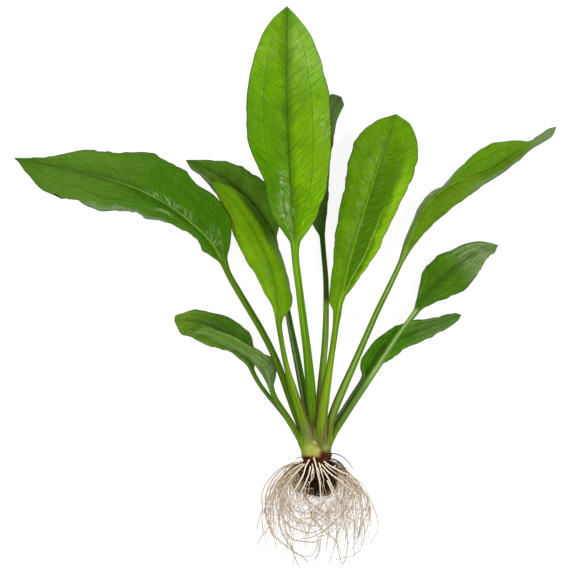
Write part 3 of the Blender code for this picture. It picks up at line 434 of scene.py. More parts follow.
            (-1, 0.96, 0.03, 0.9), (1, 0.96, 0.03, 0.9),
        ],
    },
    "leaf_mid_right": {
        "blade": (0.05, 0.13, 0.003), "deep": (0.034, 0.1, 0.002), "midrib": (0.028, 0.09, 0.003),
        "lateral": (0.025, 0.08, 0.003), "margin": (0.04, 0.07, 0.018), "stalk": (0.18, 0.33, 0.042),
        "stalk_dark": (0.025, 0.075, 0.002), "waves": 3.5, "shade": (0.35, 3.5), "long": 0.35,
        "gleam": (-0.4, 0.3, (0.32, 0.46, 0.17), 0.75),
        "bands": [(-5.0, 42.0, 14.0, (0.04, 0.11, 0.003), 0.7)],
        "glints": [(-0.9, 1.1, 0.62, 1.0, 0.25, 0.75, True)],
        "lobes": [(1, 0.945, 0.03, 1.4), (1, 0.985, 0.01, -0.5)],
        "patches": [
            # Painted sheen over the tip.
            (-0.9, 1.2, 0.6, 1.0, 0.25, (0.11, 0.16, 0.06), 0.55),
        ],
    },
    "leaf_low_right": {
        "blade": (0.063, 0.178, 0.004), "deep": (0.041, 0.132, 0.002), "midrib": (0.04, 0.11, 0.005),
        "lateral": (0.025, 0.075, 0.003), "margin": (0.04, 0.07, 0.015), "stalk": (0.075, 0.16, 0.01),
        "stalk_dark": (0.015, 0.055, 0.002), "long": 0.35, "gleam": (-0.7, -0.1, (0.3, 0.4, 0.2), 0.7),
        "glints": [(0.55, 1.2, 0.02, 0.12, 0.06, 0.9, False)],
        "patches": [
            (-1.2, 1.2, 0.6, 1.0, 0.3, (0.075, 0.13, 0.035), 0.7),
        ],
        "lobes": [
            (1, 0.7, 0.03, 0.9), (-1, 0.81, 0.02, -0.6), (-1, 0.955, 0.025, 0.9), (1, 0.96, 0.02, 0.6),
        ],
    },
}
LOOKS = {name: {**SHARED_LOOK, **look} for name, look in LOOKS.items()}
# An olive tint in the stalks' streaks, and the painted highlight colour of the glints on wet spots of the
# blades.
OLIVE = (0.1, 0.09, 0.012)
PAINTED_GLINT = (0.4, 0.52, 0.24)
# The underside of a leaf keeps this share of its colours, over these greys.
UNDER_SHARE = 0.6
UNDER_GREY = (0.05, 0.075, 0.04)
UNDER_DEEP_GREY = (0.035, 0.055, 0.028)
LEAF_SHEEN = (0.85, 1.0, 0.45)
# Scales of the noises over a leaf, in waves per metre.
CLOUD_SCALE = 70.0
WET_SCALE = 120.0
BEND_SCALE = 130.0
PATCH_SCALE = 190.0
RELIEF_SCALE = 620.0
GRAIN_SCALE = 1500.0

# Crown, medium and roots

CROWN_X = 16.4
CROWN_Z = 14.5
CROWN_TOP_Y = -86.3
CROWN_DEPTH_SHARE = 0.78
CROWN_PROFILE = [(0.0, 8.3), (2.2, 7.9), (4.6, 7.7), (7.0, 6.9), (9.0, 5.7), (9.8, 4.6)]
# Tints of the stalks' feet and the sheaths over them: middle x and y, half width and half height in mm, how
# far the middle shifts in x for each mm up, colour and strength.
CROWN_TINTS = [
    (12.2, -70.5, 2.6, 12.0, -0.42, (0.08, 0.068, 0.014), 0.65),
    (16.0, -69.0, 1.7, 11.0, 0.13, (0.055, 0.042, 0.006), 0.8),
    (22.3, -75.5, 1.9, 11.0, 0.2, (0.085, 0.062, 0.018), 0.8),
    (20.4, -81.6, 2.6, 5.0, 0.1, (0.13, 0.11, 0.035), 0.6),
    (14.0, -88.0, 4.8, 5.6, -0.2, (0.22, 0.27, 0.03), 0.9),
    (14.2, -88.6, 3.4, 3.6, -0.3, (0.34, 0.37, 0.075), 0.75),
    (17.6, -88.6, 1.9, 2.2, -0.3, (0.38, 0.35, 0.14), 0.7),
    (21.8, -86.4, 2.4, 1.8, 0.0, (0.23, 0.25, 0.07), 0.6),
    (14.8, -79.5, 2.2, 5.5, -0.3, (0.13, 0.105, 0.04), 0.5),
    (15.4, -83.6, 1.6, 1.5, 0.0, (0.27, 0.25, 0.14), 0.5),
    (17.8, -84.2, 1.0, 4.0, -0.6, (0.1, 0.07, 0.025), 0.55),
    (12.0, -79.0, 1.8, 5.5, -0.3, (0.17, 0.15, 0.065), 0.6),
    (17.0, -77.0, 1.6, 5.0, 0.2, (0.11, 0.15, 0.008), 0.6),
    (21.2, -89.2, 2.6, 1.1, 0.1, (0.28, 0.19, 0.09), 0.7),
]
# The sheaths grow together over the feet of the stalks between these places along Y.
SHEATH_START_Y = -69.0
SHEATH_END_Y = -94.6
SHEATH_CLOSED_Y = -85.0
SHEATH_RINGS = 90
SHEATH_SIDES = 220
CROWN_SIDES = 96
CROWN_RINGS = 40
# The ridge under each stalk's foot fades out over this many mm.
RIDGE_LENGTH = 7.0
# How far in mm the front stalk's swollen foot stands out over the sheaths.
BULB_HEIGHT = 0.6
CROWN_AMBER = (0.2, 0.1, 0.02)
CROWN_SHEEN = (0.85, 0.9, 0.5)
WARTS = 170
WART_LIGHT = (0.1, 0.03, 0.011)
WART_SHEEN = (1.0, 0.7, 0.5)
# The dry scale's dark and light, and its clumps: each one's centre and radius in mm.
SCALE_COLOURS = ((0.22, 0.19, 0.09), (0.42, 0.4, 0.27))
SCALE_CLUMPS = [
    ((14.7, -83.2, 21.0), 0.75), ((15.4, -83.0, 21.0), 0.7), ((16.1, -83.6, 20.9), 0.65),
    ((16.4, -84.5, 20.8), 0.6), ((15.5, -84.4, 20.9), 0.5),
]
# Warts, crumbs and scales: how far they are stretched, how fine their dents are and how deep.
LUMP_STRETCH = (0.7, 1.3)
LUMP_GRAIN = 1.6
LUMP_DENT = 0.45

CORE_CENTRE = (17.2, -103.6, 11.2)
CORE_HALF = (14.6, 9.6, 13.8)
CORE_TOP_Y = -96.4

# The skirt of roots from head to tip: place along Y, half width across X, half height, height of the middle.
ROOT_AXIS_X = 17.2
ROOT_SKIRT = [
    (-90.5, 8.2, 7.0, 14.5),
    (-95.8, 13.2, 12.4, 14.6),
    (-101.0, 18.0, 16.0, 14.6),
    (-107.0, 23.5, 16.4, 14.0),
    (-114.0, 27.0, 15.6, 13.2),
    (-123.0, 28.5, 13.8, 11.8),
    (-135.0, 26.5, 11.0, 9.8),
    (-150.0, 18.0, 8.0, 7.8),
]
# Front roots lie on the skirt's upper side. Each has its layer, counted from outside, and then the x and y of
# its route from head to tip. Roots that cross lie in different layers.
LAYER_STEP = 1.9
FRONT_ROOTS = [
    (0, [
        (15.1, -91.4), (16.1, -94.7), (17.2, -100.0), (18.2, -105.8), (18.6, -113.0),
        (18.8, -120.1), (19.5, -128.1), (19.0, -135.3), (18.3, -141.5), (16.0, -148.2),
    ]),
    (0, [(17.9, -94.2), (19.2, -98.3), (20.2, -102.7), (20.8, -107.2), (22.2, -111.7)]),
    (2, [
        (19.2, -95.0), (22.2, -98.3), (25.6, -101.2), (30.0, -104.5), (35.4, -109.4),
        (40.0, -116.5), (41.6, -124.6), (39.7, -133.5), (35.0, -141.5), (30.7, -149.4),
    ]),
    (0, [
        (12.8, -92.5), (10.9, -96.0), (9.5, -100.7), (6.7, -105.8), (3.7, -110.7), (0.4, -116.5),
        (-0.6, -122.8), (0.4, -129.9), (2.6, -137.0), (4.9, -143.3), (7.0, -149.8),
    ]),
    (2, [(14.3, -95.0), (15.0, -98.5), (14.4, -102.3), (11.3, -106.0), (10.3, -109.4), (11.5, -112.8)]),
    (2, [
        (9.4, -93.2), (5.8, -94.6), (1.9, -96.6), (-2.2, -100.0), (-6.3, -105.1), (-9.2, -112.3),
        (-10.1, -120.1), (-8.3, -127.2), (-4.5, -133.9), (0.3, -139.0), (6.7, -144.5), (13.1, -148.2),
    ]),
    (1, [
        (10.4, -94.8), (6.9, -98.2), (3.3, -101.9), (0.1, -106.7), (-2.9, -112.6),
        (-4.5, -119.2), (-3.7, -126.3), (-2.2, -132.6),
    ]),
    (0, [
        (13.3, -95.9), (12.4, -100.0), (10.8, -103.9), (8.8, -108.5), (6.3, -113.2),
        (4.0, -119.2), (3.8, -126.3), (5.6, -134.4), (7.6, -141.5), (9.7, -149.2),
    ]),
    (0, [
        (20.4, -93.4), (24.3, -96.0), (28.7, -98.3), (33.3, -100.7), (38.3, -105.4), (43.2, -111.2),
        (47.2, -118.3), (50.0, -126.3), (49.2, -132.6), (45.2, -138.4), (38.1, -143.5),
    ]),
    (1, [
        (19.7, -97.5), (22.4, -101.6), (24.5, -106.3), (27.6, -111.2), (32.5, -115.6),
        (34.3, -121.9), (32.9, -129.9), (31.8, -137.9), (30.4, -146.4),
    ]),
    (2, [(17.4, -96.9), (18.0, -101.8), (19.5, -106.7), (20.1, -110.7)]),
    (2, [(21.3, -95.1), (25.6, -98.9), (30.0, -101.4), (34.2, -103.9)]),
    (2, [(9.2, -94.8), (5.1, -97.3), (1.2, -100.7), (-2.9, -105.3), (-5.6, -110.3), (-7.0, -116.5)]),
    (0, [
        (22.2, -103.3), (24.9, -109.4), (26.5, -115.6), (28.3, -121.9),
        (27.6, -129.0), (26.5, -136.2), (25.2, -143.3), (23.5, -149.9),
    ]),
    (0, [(14.7, -96.6), (13.9, -101.4), (12.6, -106.7), (12.2, -110.3)]),
    (2, [(13.8, -113.2), (14.9, -118.3), (14.0, -124.6), (12.0, -130.8), (10.4, -137.0), (11.0, -143.3)]),
    (2, [(21.1, -112.6), (22.9, -118.3), (22.0, -124.6), (22.7, -131.7), (22.6, -137.9), (20.7, -144.2)]),
]
# Flank roots run down the skirt's sides, below its middle. Each has its angle round the skirt from +X, the
# share of the skirt's width that it keeps at its tip, and how far down the skirt it reaches.
FLANK_ROOTS = [
    (-40.0, 0.7, 0.82), (-32.0, 1.0, 0.95), (-24.0, 0.85, 0.88), (-16.0, 1.1, 0.78), (-8.0, 0.95, 0.97),
    (188.0, 1.05, 0.92), (196.0, 0.8, 0.84), (204.0, 1.12, 0.97), (212.0, 0.75, 0.9), (220.0, 0.95, 0.8),
]
FLANK_ROOT_START = 0.1
# A flank root sways round the skirt by up to this many degrees, once or less on its way down.
ROOT_SWAY = 5.0
ROOT_SWAY_TURN = 5.0
ROOT_SWAY_STAGGER = 40.0
# Past this share of the way down, a flank root draws in or strays out.
ROOT_FREE_FROM = 0.35
MAIN_POINTS = 70
# A root's greatest radius, the share of it at its head and the share that it loses by its tip.
ROOT_RADIUS = 0.62
ROOT_HEAD_SHARE = 0.78
ROOT_TIP_LOSS = 0.5
LOWEST_Y = -149.9
HIGHEST_Z = 35.0
LOWEST_Z = 0.05
# No fine root starts over this front part of the medium, and one that lies over it for long is left out:
# its left, right, bottom and back limits.
BARE_PATCH = (9.0, 26.5, -107.5, 19.0)
# The medium shows bare round this middle x and y, out to this half width and this far down.
MATTED_FROM = (17.8, -101.0, 9.5, 11.0)
# Thin dead roots that curl off the rhizome: x, y and z of each one's points.
DEAD_ROOTS = [
    [(21.6, -90.6, 16.0), (24.6, -89.4, 16.6), (29.0, -90.4, 16.0), (33.0, -93.4, 14.5), (36.4, -98.2, 12.5)],
    [
        (21.4, -92.4, 17.0), (26.0, -92.6, 18.6), (30.0, -95.0, 18.0), (32.0, -98.6, 16.6),
        (32.6, -104.0, 14.6),
    ],
    [(20.4, -92.6, 18.4), (23.6, -93.4, 20.6), (27.0, -93.0, 20.4), (29.4, -95.6, 19.6), (33.6, -97.6, 16.0)],
    [(10.4, -92.0, 18.0), (8.4, -91.4, 17.6), (6.6, -91.8, 16.6), (5.2, -93.2, 15.4)],
]
# Long fine roots that can be told apart: the share of the skirt's depth, from -1 at its back to 1 at its
# front, that each keeps to, and the x and y of its points.
LONG_ROOTS = [
    (0.5, [(8.6, -92.3), (3.7, -93.9), (-2.9, -97.6), (-8.0, -102.5), (-12.0, -108.9), (-12.9, -113.7),
        (-12.3, -118.5), (-14.2, -124.9), (-15.5, -130.3)]),
    (0.7, [(9.1, -93.4), (5.4, -95.0), (-1.3, -97.6), (-6.2, -102.5), (-9.1, -107.3), (-10.6, -113.7),
        (-10.9, -118.5), (-10.2, -123.9), (-9.0, -127.9), (-5.3, -134.6), (-1.6, -137.8), (3.7, -141.5),
        (8.8, -144.7), (12.0, -147.4)]),
    (0.9, [(1.7, -101.2), (-2.9, -104.1), (-5.3, -108.9), (-6.7, -115.6), (-7.8, -121.2), (-8.3, -126.3),
        (-9.9, -130.6), (-13.1, -134.6), (-15.2, -138.8)]),
    (0.8, [(-0.8, -107.3), (-2.1, -113.7), (-2.9, -119.0), (-3.5, -124.9), (-2.4, -130.6), (-0.3, -134.6),
        (1.9, -138.3), (4.0, -142.3), (5.1, -145.6), (7.1, -149.5)]),
    (0.4, [(2.4, -103.5), (0.3, -111.5), (-1.3, -118.5), (-0.8, -126.0), (1.3, -133.5), (2.9, -138.8),
        (4.5, -144.2), (4.3, -149.5)]),
    (0.2, [(-1.3, -118.5), (-0.8, -127.1), (0.8, -134.0), (1.0, -138.3), (0.3, -141.5), (-0.4, -144.7)]),
    (1.0, [(4.4, -108.9), (2.4, -115.3), (2.0, -120.1), (1.9, -124.9), (2.2, -129.7), (3.5, -136.2),
        (4.0, -140.4)]),
    (1.0, [(0.8, -112.6), (3.5, -117.2), (7.1, -119.9), (11.0, -121.4), (16.9, -123.6), (21.7, -126.5),
        (24.3, -129.7)]),
    (0.8, [(-0.8, -118.0), (2.7, -122.2), (7.1, -124.4), (10.4, -126.3), (13.6, -127.6), (17.9, -128.1),
        (22.2, -127.1)]),
    (0.9, [(0.8, -120.6), (5.4, -125.5), (8.3, -126.4), (12.0, -128.1), (15.8, -130.8), (17.1, -134.6),
        (17.8, -139.6), (17.4, -143.6), (15.6, -146.9), (14.7, -149.5)]),
    (0.6, [(-0.3, -124.9), (3.5, -128.9), (6.4, -130.1), (9.9, -131.6), (15.2, -131.6), (19.5, -129.7)]),
    (0.3, [(0.3, -131.9), (3.7, -135.6), (9.1, -136.7), (15.8, -137.0), (19.5, -135.6)]),
    (0.5, [(2.9, -138.8), (5.1, -142.6), (9.1, -144.5), (12.0, -145.0), (15.2, -143.0), (16.9, -139.6),
        (17.7, -135.1)]),
    (0.8, [(17.9, -116.9), (19.5, -124.9), (19.3, -133.5), (18.5, -137.8), (17.8, -142.3), (16.0, -145.8)]),
    (1.0, [(25.4, -112.1), (26.5, -118.5), (27.0, -124.4), (27.6, -130.3), (27.3, -135.6), (25.9, -140.4),
        (24.3, -145.3), (22.5, -150.1)]),
    (0.9, [(29.7, -114.2), (30.8, -120.1), (31.3, -125.2), (32.4, -129.6), (32.9, -133.5), (33.4, -138.3),
        (32.9, -142.3), (32.2, -145.6), (30.5, -149.5)]),
    (0.3, [(27.0, -130.3), (27.6, -137.2), (28.5, -142.3), (29.2, -145.6), (30.2, -149.0)]),
    (0.9, [(32.9, -111.0), (35.0, -116.9), (36.5, -122.8), (37.2, -129.6), (37.2, -135.6), (36.6, -139.6),
        (37.2, -145.3)]),
    (0.7, [(35.6, -106.7), (39.3, -112.6), (41.5, -118.5), (41.7, -124.4), (42.4, -129.6), (42.0, -135.6),
        (40.7, -140.4), (38.5, -142.9), (35.8, -144.7), (30.8, -145.6), (27.0, -146.6)]),
    (0.4, [(32.4, -100.3), (37.5, -103.0), (41.8, -106.5), (44.7, -112.6), (47.1, -118.5), (49.0, -123.9),
        (49.8, -128.7), (48.4, -133.5), (45.2, -137.8)]),
    (0.6, [(39.3, -106.7), (43.1, -112.6), (45.2, -117.4), (44.7, -121.2), (42.3, -124.9), (40.4, -129.2),
        (39.1, -134.6)]),
    (0.0, [(37.2, -105.7), (42.0, -111.0), (45.4, -118.5), (45.7, -126.0), (45.0, -132.9), (43.4, -139.4)]),
    (0.7, [(28.1, -107.8), (29.5, -114.2), (30.2, -119.6), (29.2, -126.0), (25.4, -130.8), (21.7, -132.9),
        (16.9, -134.0)]),
    (0.5, [(11.0, -114.2), (13.1, -120.6), (17.4, -127.1), (22.2, -132.4), (26.5, -136.2), (29.7, -141.5)]),
    (0.4, [(31.3, -117.4), (28.6, -123.3), (23.8, -128.1), (19.0, -131.9), (13.6, -134.6), (8.3, -135.1)]),
    (-0.3, [(-1.3, -106.7), (-6.2, -113.7), (-8.8, -120.6), (-9.0, -128.1), (-6.7, -134.6)]),
]
# The planting medium's light grain, and the dark and light of the fibres that mat it.
MEDIUM_LIGHT = (0.06, 0.032, 0.012)
FIBRE_COLOURS = ((0.16, 0.1, 0.05), (0.42, 0.32, 0.21))
# No crumb's centre lies lower than this.
LOWEST_CRUMB = 1.2
# Colours of the roots: of the flecks on all, of the main roots' tips, then tips and heads of the fine and of
# the long ones. The dead ones' are their palest and darkest tone, tip and head.
ROOT_FLECK = (0.3, 0.19, 0.1)
ROOT_FLECK_SCALE = 420.0
MAIN_ROOT_TIP = (0.46, 0.38, 0.28)
FINE_ROOT_ENDS = ((0.5, 0.43, 0.34), (0.36, 0.22, 0.1))
LONG_ROOT_ENDS = ((0.33, 0.29, 0.24), (0.45, 0.33, 0.2))
DEAD_ROOT_COLOURS = ((0.1, 0.06, 0.03), (0.03, 0.016, 0.008), (0.16, 0.1, 0.055), (0.05, 0.02, 0.01))
# The main roots' unevenness, as waves: mm, slowest and fastest count.
MAIN_WANDER = [(0.12, 2.0, 4.0), (0.06, 6.0, 9.0)]
# Groups of fine roots: piece, the setting that counts them, in how many passes the main roots' points are
# taken, points of a strand, its radius as a share of the fine radius, then the values that arcs takes.
STRAND_GROUPS = [
    ("hanging_roots", "fine_count", 1, 40, 1.0, (-122.0, -96.0), (-143.0, -116.0), 1.04, (0.0, 5.0),
     [(0.9, 0.25, 0.7), (0.25, 1.0, 2.2)]),
    ("looping_roots", "arc_count", 1, 44, 0.95, (-120.0, -100.0), (-141.0, -122.0), 0.9, (8.0, 26.0),
     [(1.2, 0.3, 0.8), (0.3, 1.2, 2.4)]),
    ("rootlets", "hair_count", 2, 30, 0.62, (-124.0, -97.0), (-136.0, -106.0), 0.96, (0.0, 9.0),
     [(0.8, 0.3, 0.9)]),
    ("soil_rootlets", "mat_count", 1, 24, 0.8, (-106.0, -95.0), (-120.0, -105.0), 0.86, (0.0, 7.0),
     [(0.7, 0.4, 1.2)]),
]
# A fine root starts from one of this many nearest points of the main roots.
NEAR_STARTS = 16
# One with this many points before the bare patch is left out.
BARE_POINTS = 4
# The share of a strand over which it leaves its head's place.
STRAND_GRIP = 0.3
LONG_POINTS = 60
LONG_SHARE = 1.5
DEAD_POINTS = 30
DEAD_SHARE = 1.7

# Stage

# The camera's place over the plant in mm.
CAMERA_X = 1.34
CAMERA_Y = -0.8
# Half the floor's side, and how far it lies under the plant, in metres.
FLOOR_HALF = 12.0
FLOOR_GAP = 0.0002
# The room's light falls from the walls' to the ceiling's between these heights on the sky's globe.
WALL_TOPS = (0.5, 0.82)
CEILING_SHARE = 0.1
# Name, place in metres and power of each lamp, and the size of all.
LAMPS = [
    ("key_light", (-0.9, 0.9, 1.7), 12.0),
    ("right_light", (1.0, 0.3, 1.7), 12.0),
    ("near_light", (0.5, -0.9, 1.7), 9.0),
]
LAMP_SIZE = 0.4

# Shared shapes


def secant_slopes(knots, values):
    """Slopes of a smooth curve through the values: those of the line between each point's neighbours."""
    return np.gradient(values, knots, axis=0)


def level_slopes(knots, values):
    """Slopes that keep each column between its neighbouring values, so that a width never overshoots."""
    steps = np.diff(knots)[:, None]
    rates = np.diff(values, axis=0) / steps
    slopes = np.zeros_like(values)
    before, after = rates[:-1], rates[1:]
    same_way = before * after > 0
    total = np.where(same_way, before + after, 1.0)
    slopes[1:-1] = np.where(same_way, 2 * before * after / total, 0.0)
    slopes[0], slopes[-1] = rates[0], rates[-1]
    return slopes


def hermite(knots, values, slopes, at):
    """The curve with these values and slopes at the knots, read at each place of at."""
    left = np.clip(np.searchsorted(knots, at, side="right") - 1, 0, len(knots) - 2)
    width = (knots[left + 1] - knots[left])[..., None]
    t = (at - knots[left])[..., None] / width
    return (
        values[left] * (2 * t**3 - 3 * t**2 + 1)
        + slopes[left] * width * (t**3 - 2 * t**2 + t)
        + values[left + 1] * (3 * t**2 - 2 * t**3)
        + slopes[left + 1] * width * (t**3 - t**2)
    )


def distances(points):
    """How far each point lies along the line through them all, from the first."""
    strides = np.linalg.norm(np.diff(points, axis=0), axis=1)
    return np.concatenate([[0.0], np.cumsum(strides)])


def course_of(points, length):
    """A smooth curve through the points, read at evenly spread places along it."""
    points = np.array(points)
    knots = distances(points)
    return hermite(knots, points, secant_slopes(knots, points), np.linspace(0.0, knots[-1], length))


def unit(vectors):
    lengths = np.linalg.norm(vectors, axis=-1, keepdims=True)
    return vectors / np.where(lengths > 1e-9, lengths, 1.0)


def smooth(value, low, high):
    share = np.clip((value - low) / (high - low), 0.0, 1.0)
    return share * share * (3 - 2 * share)


def scaled(colour, factor):
    return tuple(factor * part for part in colour)


def new_piece(name, mesh, nodes=()):
    """Puts a finished mesh in the scene as a piece that rides on the plant."""
    piece = bpy.data.objects.new(name, mesh)
    bpy.context.scene.collection.objects.link(piece)
    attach(piece, BODY)
    if nodes:
        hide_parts(*nodes)


def mesh_of(name, points, faces, uvs, materials, slots=None):
    """A smooth mesh from points in mm, faces as lists, and named maps with one pair for each corner."""
    mesh = bpy.data.meshes.new(name)
    mesh.vertices.add(len(points))
    mesh.vertices.foreach_set("co", (np.asarray(points, float) * MM).astype(np.float32).ravel())
    sizes = np.array([len(face) for face in faces], np.int32)
    corners = np.fromiter((i for face in faces for i in face), np.int32, int(sizes.sum()))
    mesh.loops.add(len(corners))
    mesh.loops.foreach_set("vertex_index", corners)
    mesh.polygons.add(len(sizes))
    starts = np.concatenate([[0], np.cumsum(sizes)[:-1]]).astype(np.int32)
    mesh.polygons.foreach_set("loop_start", starts)
    mesh.polygons.foreach_set("loop_total", sizes)
    for title, pairs in uvs.items():
        layer = mesh.uv_layers.new(name=title)
        layer.data.foreach_set("uv", np.asarray(pairs, np.float32).ravel())
    for material in materials:
        mesh.materials.append(material)
    if slots is not None:
        mesh.polygons.foreach_set("material_index", np.asarray(slots, np.int32))
    mesh.update(calc_edges=True)
    mesh.validate()
    mesh.shade_smooth()
    return mesh


def ring_mesh(name, rings, material):
    """A closed mesh round rings of points (rings x points x 3), with a cap on the first and the last ring."""
    count, size = rings.shape[:2]
    index = np.arange(count * size).reshape(count, size)
    following = np.roll(index, -1, axis=1)
    quads = np.stack([index[:-1], following[:-1], following[1:], index[1:]], axis=-1)
    faces = [*quads.reshape(-1, 4).tolist(), index[0, ::-1].tolist(), index[-1].tolist()]
    return mesh_of(name, rings.reshape(-1, 3), faces, {}, [material])


def tubes(name, routes, radii, tones, sides, material):
    """One mesh of many tapered strands. Routes are strands x points x 3, radii strands x points."""
    count, length = routes.shape[:2]
    index = np.arange(count * length * sides).reshape(count, length, sides)
    ahead = np.roll(index, -1, axis=2)
    quads = np.stack([index[:, :-1], ahead[:, :-1], ahead[:, 1:], index[:, 1:]], axis=-1)
    faces = quads.reshape(-1, 4).tolist() + index[:, 0, ::-1].tolist() + index[:, -1].tolist()
    maps = {
        "strand": tube_corners(strand_shares(tones, length, sides)),
        "OFBake": tube_corners(strand_cells(count, length, sides)),
    }
    return mesh_of(name, tube_rings(routes, radii, sides).reshape(-1, 3), faces, maps, [material])


def tube_rings(routes, radii, sides):
    """Rings round each strand's points, turned as little as can be from one to the next."""
    along = unit(np.gradient(routes, axis=1))
    side = unit(np.cross(along[:, 0], np.array([0.31, 0.23, 0.92])))
    rings = np.empty((*routes.shape[:2], sides, 3))
    turns = np.arange(sides) * (2 * math.pi / sides)
    for step in range(routes.shape[1]):
        heading = along[:, step]
        side = unit(side - (side * heading).sum(1)[:, None] * heading)
        other = np.cross(heading, side)
        ring = side[:, None] * np.cos(turns)[:, None] + other[:, None] * np.sin(turns)[:, None]
        rings[:, step] = routes[:, step, None] + ring * radii[:, step, None, None]
    return rings


def strand_shares(tones, length, sides):
    """Each strand's tone, and the share down it, round every point."""
    share = np.linspace(0.0, 1.0, length)[None, :, None]
    share = np.broadcast_to(share, (len(tones), length, sides + 1))
    tone = np.broadcast_to(tones[:, None, None], share.shape)
    return np.stack([tone, share], axis=-1)


def strand_cells(count, length, sides):
    """The bake map round every point: each strand fills one cell of it, lying along it."""
    columns = max(1, int(math.sqrt(count / 3)))
    rows = math.ceil(count / columns)
    cell = np.stack([np.arange(count) % columns / columns, np.arange(count) // columns / rows], axis=-1)
    run = np.linspace(0.03, 0.95, length) / columns
    rise = np.linspace(0.08, 0.88, sides + 1) / rows
    u = cell[:, 0, None, None] + run[None, :, None] + np.zeros((1, 1, sides + 1))
    v = cell[:, 1, None, None] + rise[None, None, :] + np.zeros((1, length, 1))
    return np.stack([u, v], axis=-1)


def tube_corners(grid):
    """The value pairs at the corners of the tubes' quads, then of their first caps and their last ones."""
    quads = np.stack([grid[:, :-1, :-1], grid[:, :-1, 1:], grid[:, 1:, 1:], grid[:, 1:, :-1]], axis=3)
    caps = [np.repeat(grid[:, end, :1], grid.shape[2] - 1, axis=1) for end in (0, -1)]
    return np.concatenate([part.reshape(-1, 2) for part in (quads, *caps)])


def lumps(name, clumps, chance, material, flat=1.0):
    """One mesh of many small uneven balls: each clump is its centre in mm and its radius."""
    work = bmesh.new()
    bmesh.ops.create_icosphere(work, subdivisions=2, radius=1.0)
    ball = np.array([v.co for v in work.verts])
    sides = np.array([[v.index for v in face.verts] for face in work.faces])
    work.free()
    points, faces = [], []
    for number, (centre, radius) in enumerate(clumps):
        stretch = chance.uniform(*LUMP_STRETCH, 3) * np.array([1.0, 1.0, flat])
        shift = chance.uniform(0.0, 100.0, 3)
        dents = np.array([noise.noise(Vector(c * LUMP_GRAIN + shift)) for c in ball])
        points.append(np.array(centre) + ball * stretch * radius * (1 + LUMP_DENT * dents[:, None]))
        faces.append(sides + number * len(ball))
    points = np.concatenate(points)
    points[:, 2] = np.maximum(points[:, 2], LOWEST_Z)
    return mesh_of(name, points, np.concatenate(faces).tolist(), {}, [material])


# Finishes


class Finish:
    """Builds one material from small steps, each of which adds and links one node."""

    def __init__(self, name):
        self.material = bpy.data.materials.new(name)
        self.material.use_nodes = True
        self.tree = self.material.node_tree
        self.shader = self.tree.nodes["Principled BSDF"]

    def put(self, socket, value):
        if isinstance(value, bpy.types.NodeSocket):
            self.tree.links.new(value, socket)
        elif socket.type == "RGBA":
            socket.default_value = (*value, 1.0)
        else:
            socket.default_value = value

    def filled(self, kind, values, **choices):
        """A new node with these choices, whose inputs take the values, given in order or by their names."""
        node = self.tree.nodes.new(kind)
        for title, choice in choices.items():
            setattr(node, title, choice)
        for key, value in values.items() if isinstance(values, dict) else enumerate(values):
            self.put(node.inputs[key], value)
        return node

    def maths(self, operation, first, second=0.0, third=0.0):
        return self.filled("ShaderNodeMath", (first, second, third), operation=operation).outputs[0]

    def times(self, first, *others):
        for other in others:
            first = self.maths("MULTIPLY", first, other)
        return first

    def plus(self, first, second):
        return self.maths("ADD", first, second)

    def less(self, first, second):
        return self.maths("SUBTRACT", first, second)

    def swing(self, value, amount, middle=1.0):
        """A value near a half turned into one that swings round the middle by up to this amount."""
        return self.maths("MULTIPLY_ADD", self.less(value, 0.5), 2 * amount, middle)

    def ramp(self, value, low, high, start=0.0, end=1.0):
        values = (value, low, high, start, end)
        return self.filled("ShaderNodeMapRange", values, interpolation_type="SMOOTHSTEP").outputs[0]

    def hill(self, value, low, high, soft):
        """One between low and high, falling to nothing over the softness on either side."""
        rise = self.ramp(value, low - soft / 2, low + soft / 2)
        return self.times(rise, self.ramp(value, high + soft / 2, high - soft / 2))

    def mix(self, share, first, second, way="MIX"):
        values = {0: share, 6: first, 7: second}
        return self.filled("ShaderNodeMix", values, data_type="RGBA", blend_type=way).outputs[2]

    def dim(self, colour, factor):
        """The colour times a factor."""
        return self.mix(1.0, colour, self.join(factor, factor, factor), "MULTIPLY")

    def join(self, x, y, z=0.0):
        return self.filled("ShaderNodeCombineXYZ", (x, y, z)).outputs[0]

    def split(self, vector):
        return self.filled("ShaderNodeSeparateXYZ", (vector,)).outputs[:3]

    def map(self, title):
        return self.filled("ShaderNodeUVMap", (), uv_map=title).outputs[0]

    def place(self):
        """The point's place in metres."""
        return self.tree.nodes.new("ShaderNodeTexCoord").outputs["Object"]

    def place_mm(self):
        """The point's x, y and z in mm."""
        return [self.times(value, 1.0 / MM) for value in self.split(self.place())]

    def noise(self, vector, scale, detail=2.0, roughness=0.5):
        values = {"Vector": vector, "Scale": scale, "Detail": detail, "Roughness": roughness}
        return self.filled("ShaderNodeTexNoise", values).outputs[0]

    def stripes(self, x, y, z=0.0, detail=3.0, roughness=0.6):
        """Noise over values that are each stretched already."""
        return self.noise(self.join(x, y, z), 1.0, detail, roughness)

    def bump(self, height, strength, distance):
        values = {"Height": height, "Strength": strength, "Distance": distance}
        return self.filled("ShaderNodeBump", values).outputs[0]

    def shade(self, colour, roughness, normal=None, shine=0.5, sheen=(1.0, 1.0, 1.0)):
        self.put(self.shader.inputs["Base Color"], colour)
        self.put(self.shader.inputs["Roughness"], roughness)
        self.shader.inputs["Specular IOR Level"].default_value = shine
        self.shader.inputs["Specular Tint"].default_value = (*sheen, 1.0)
        if normal is not None:
            self.put(self.shader.inputs["Normal"], normal)
        return self.material


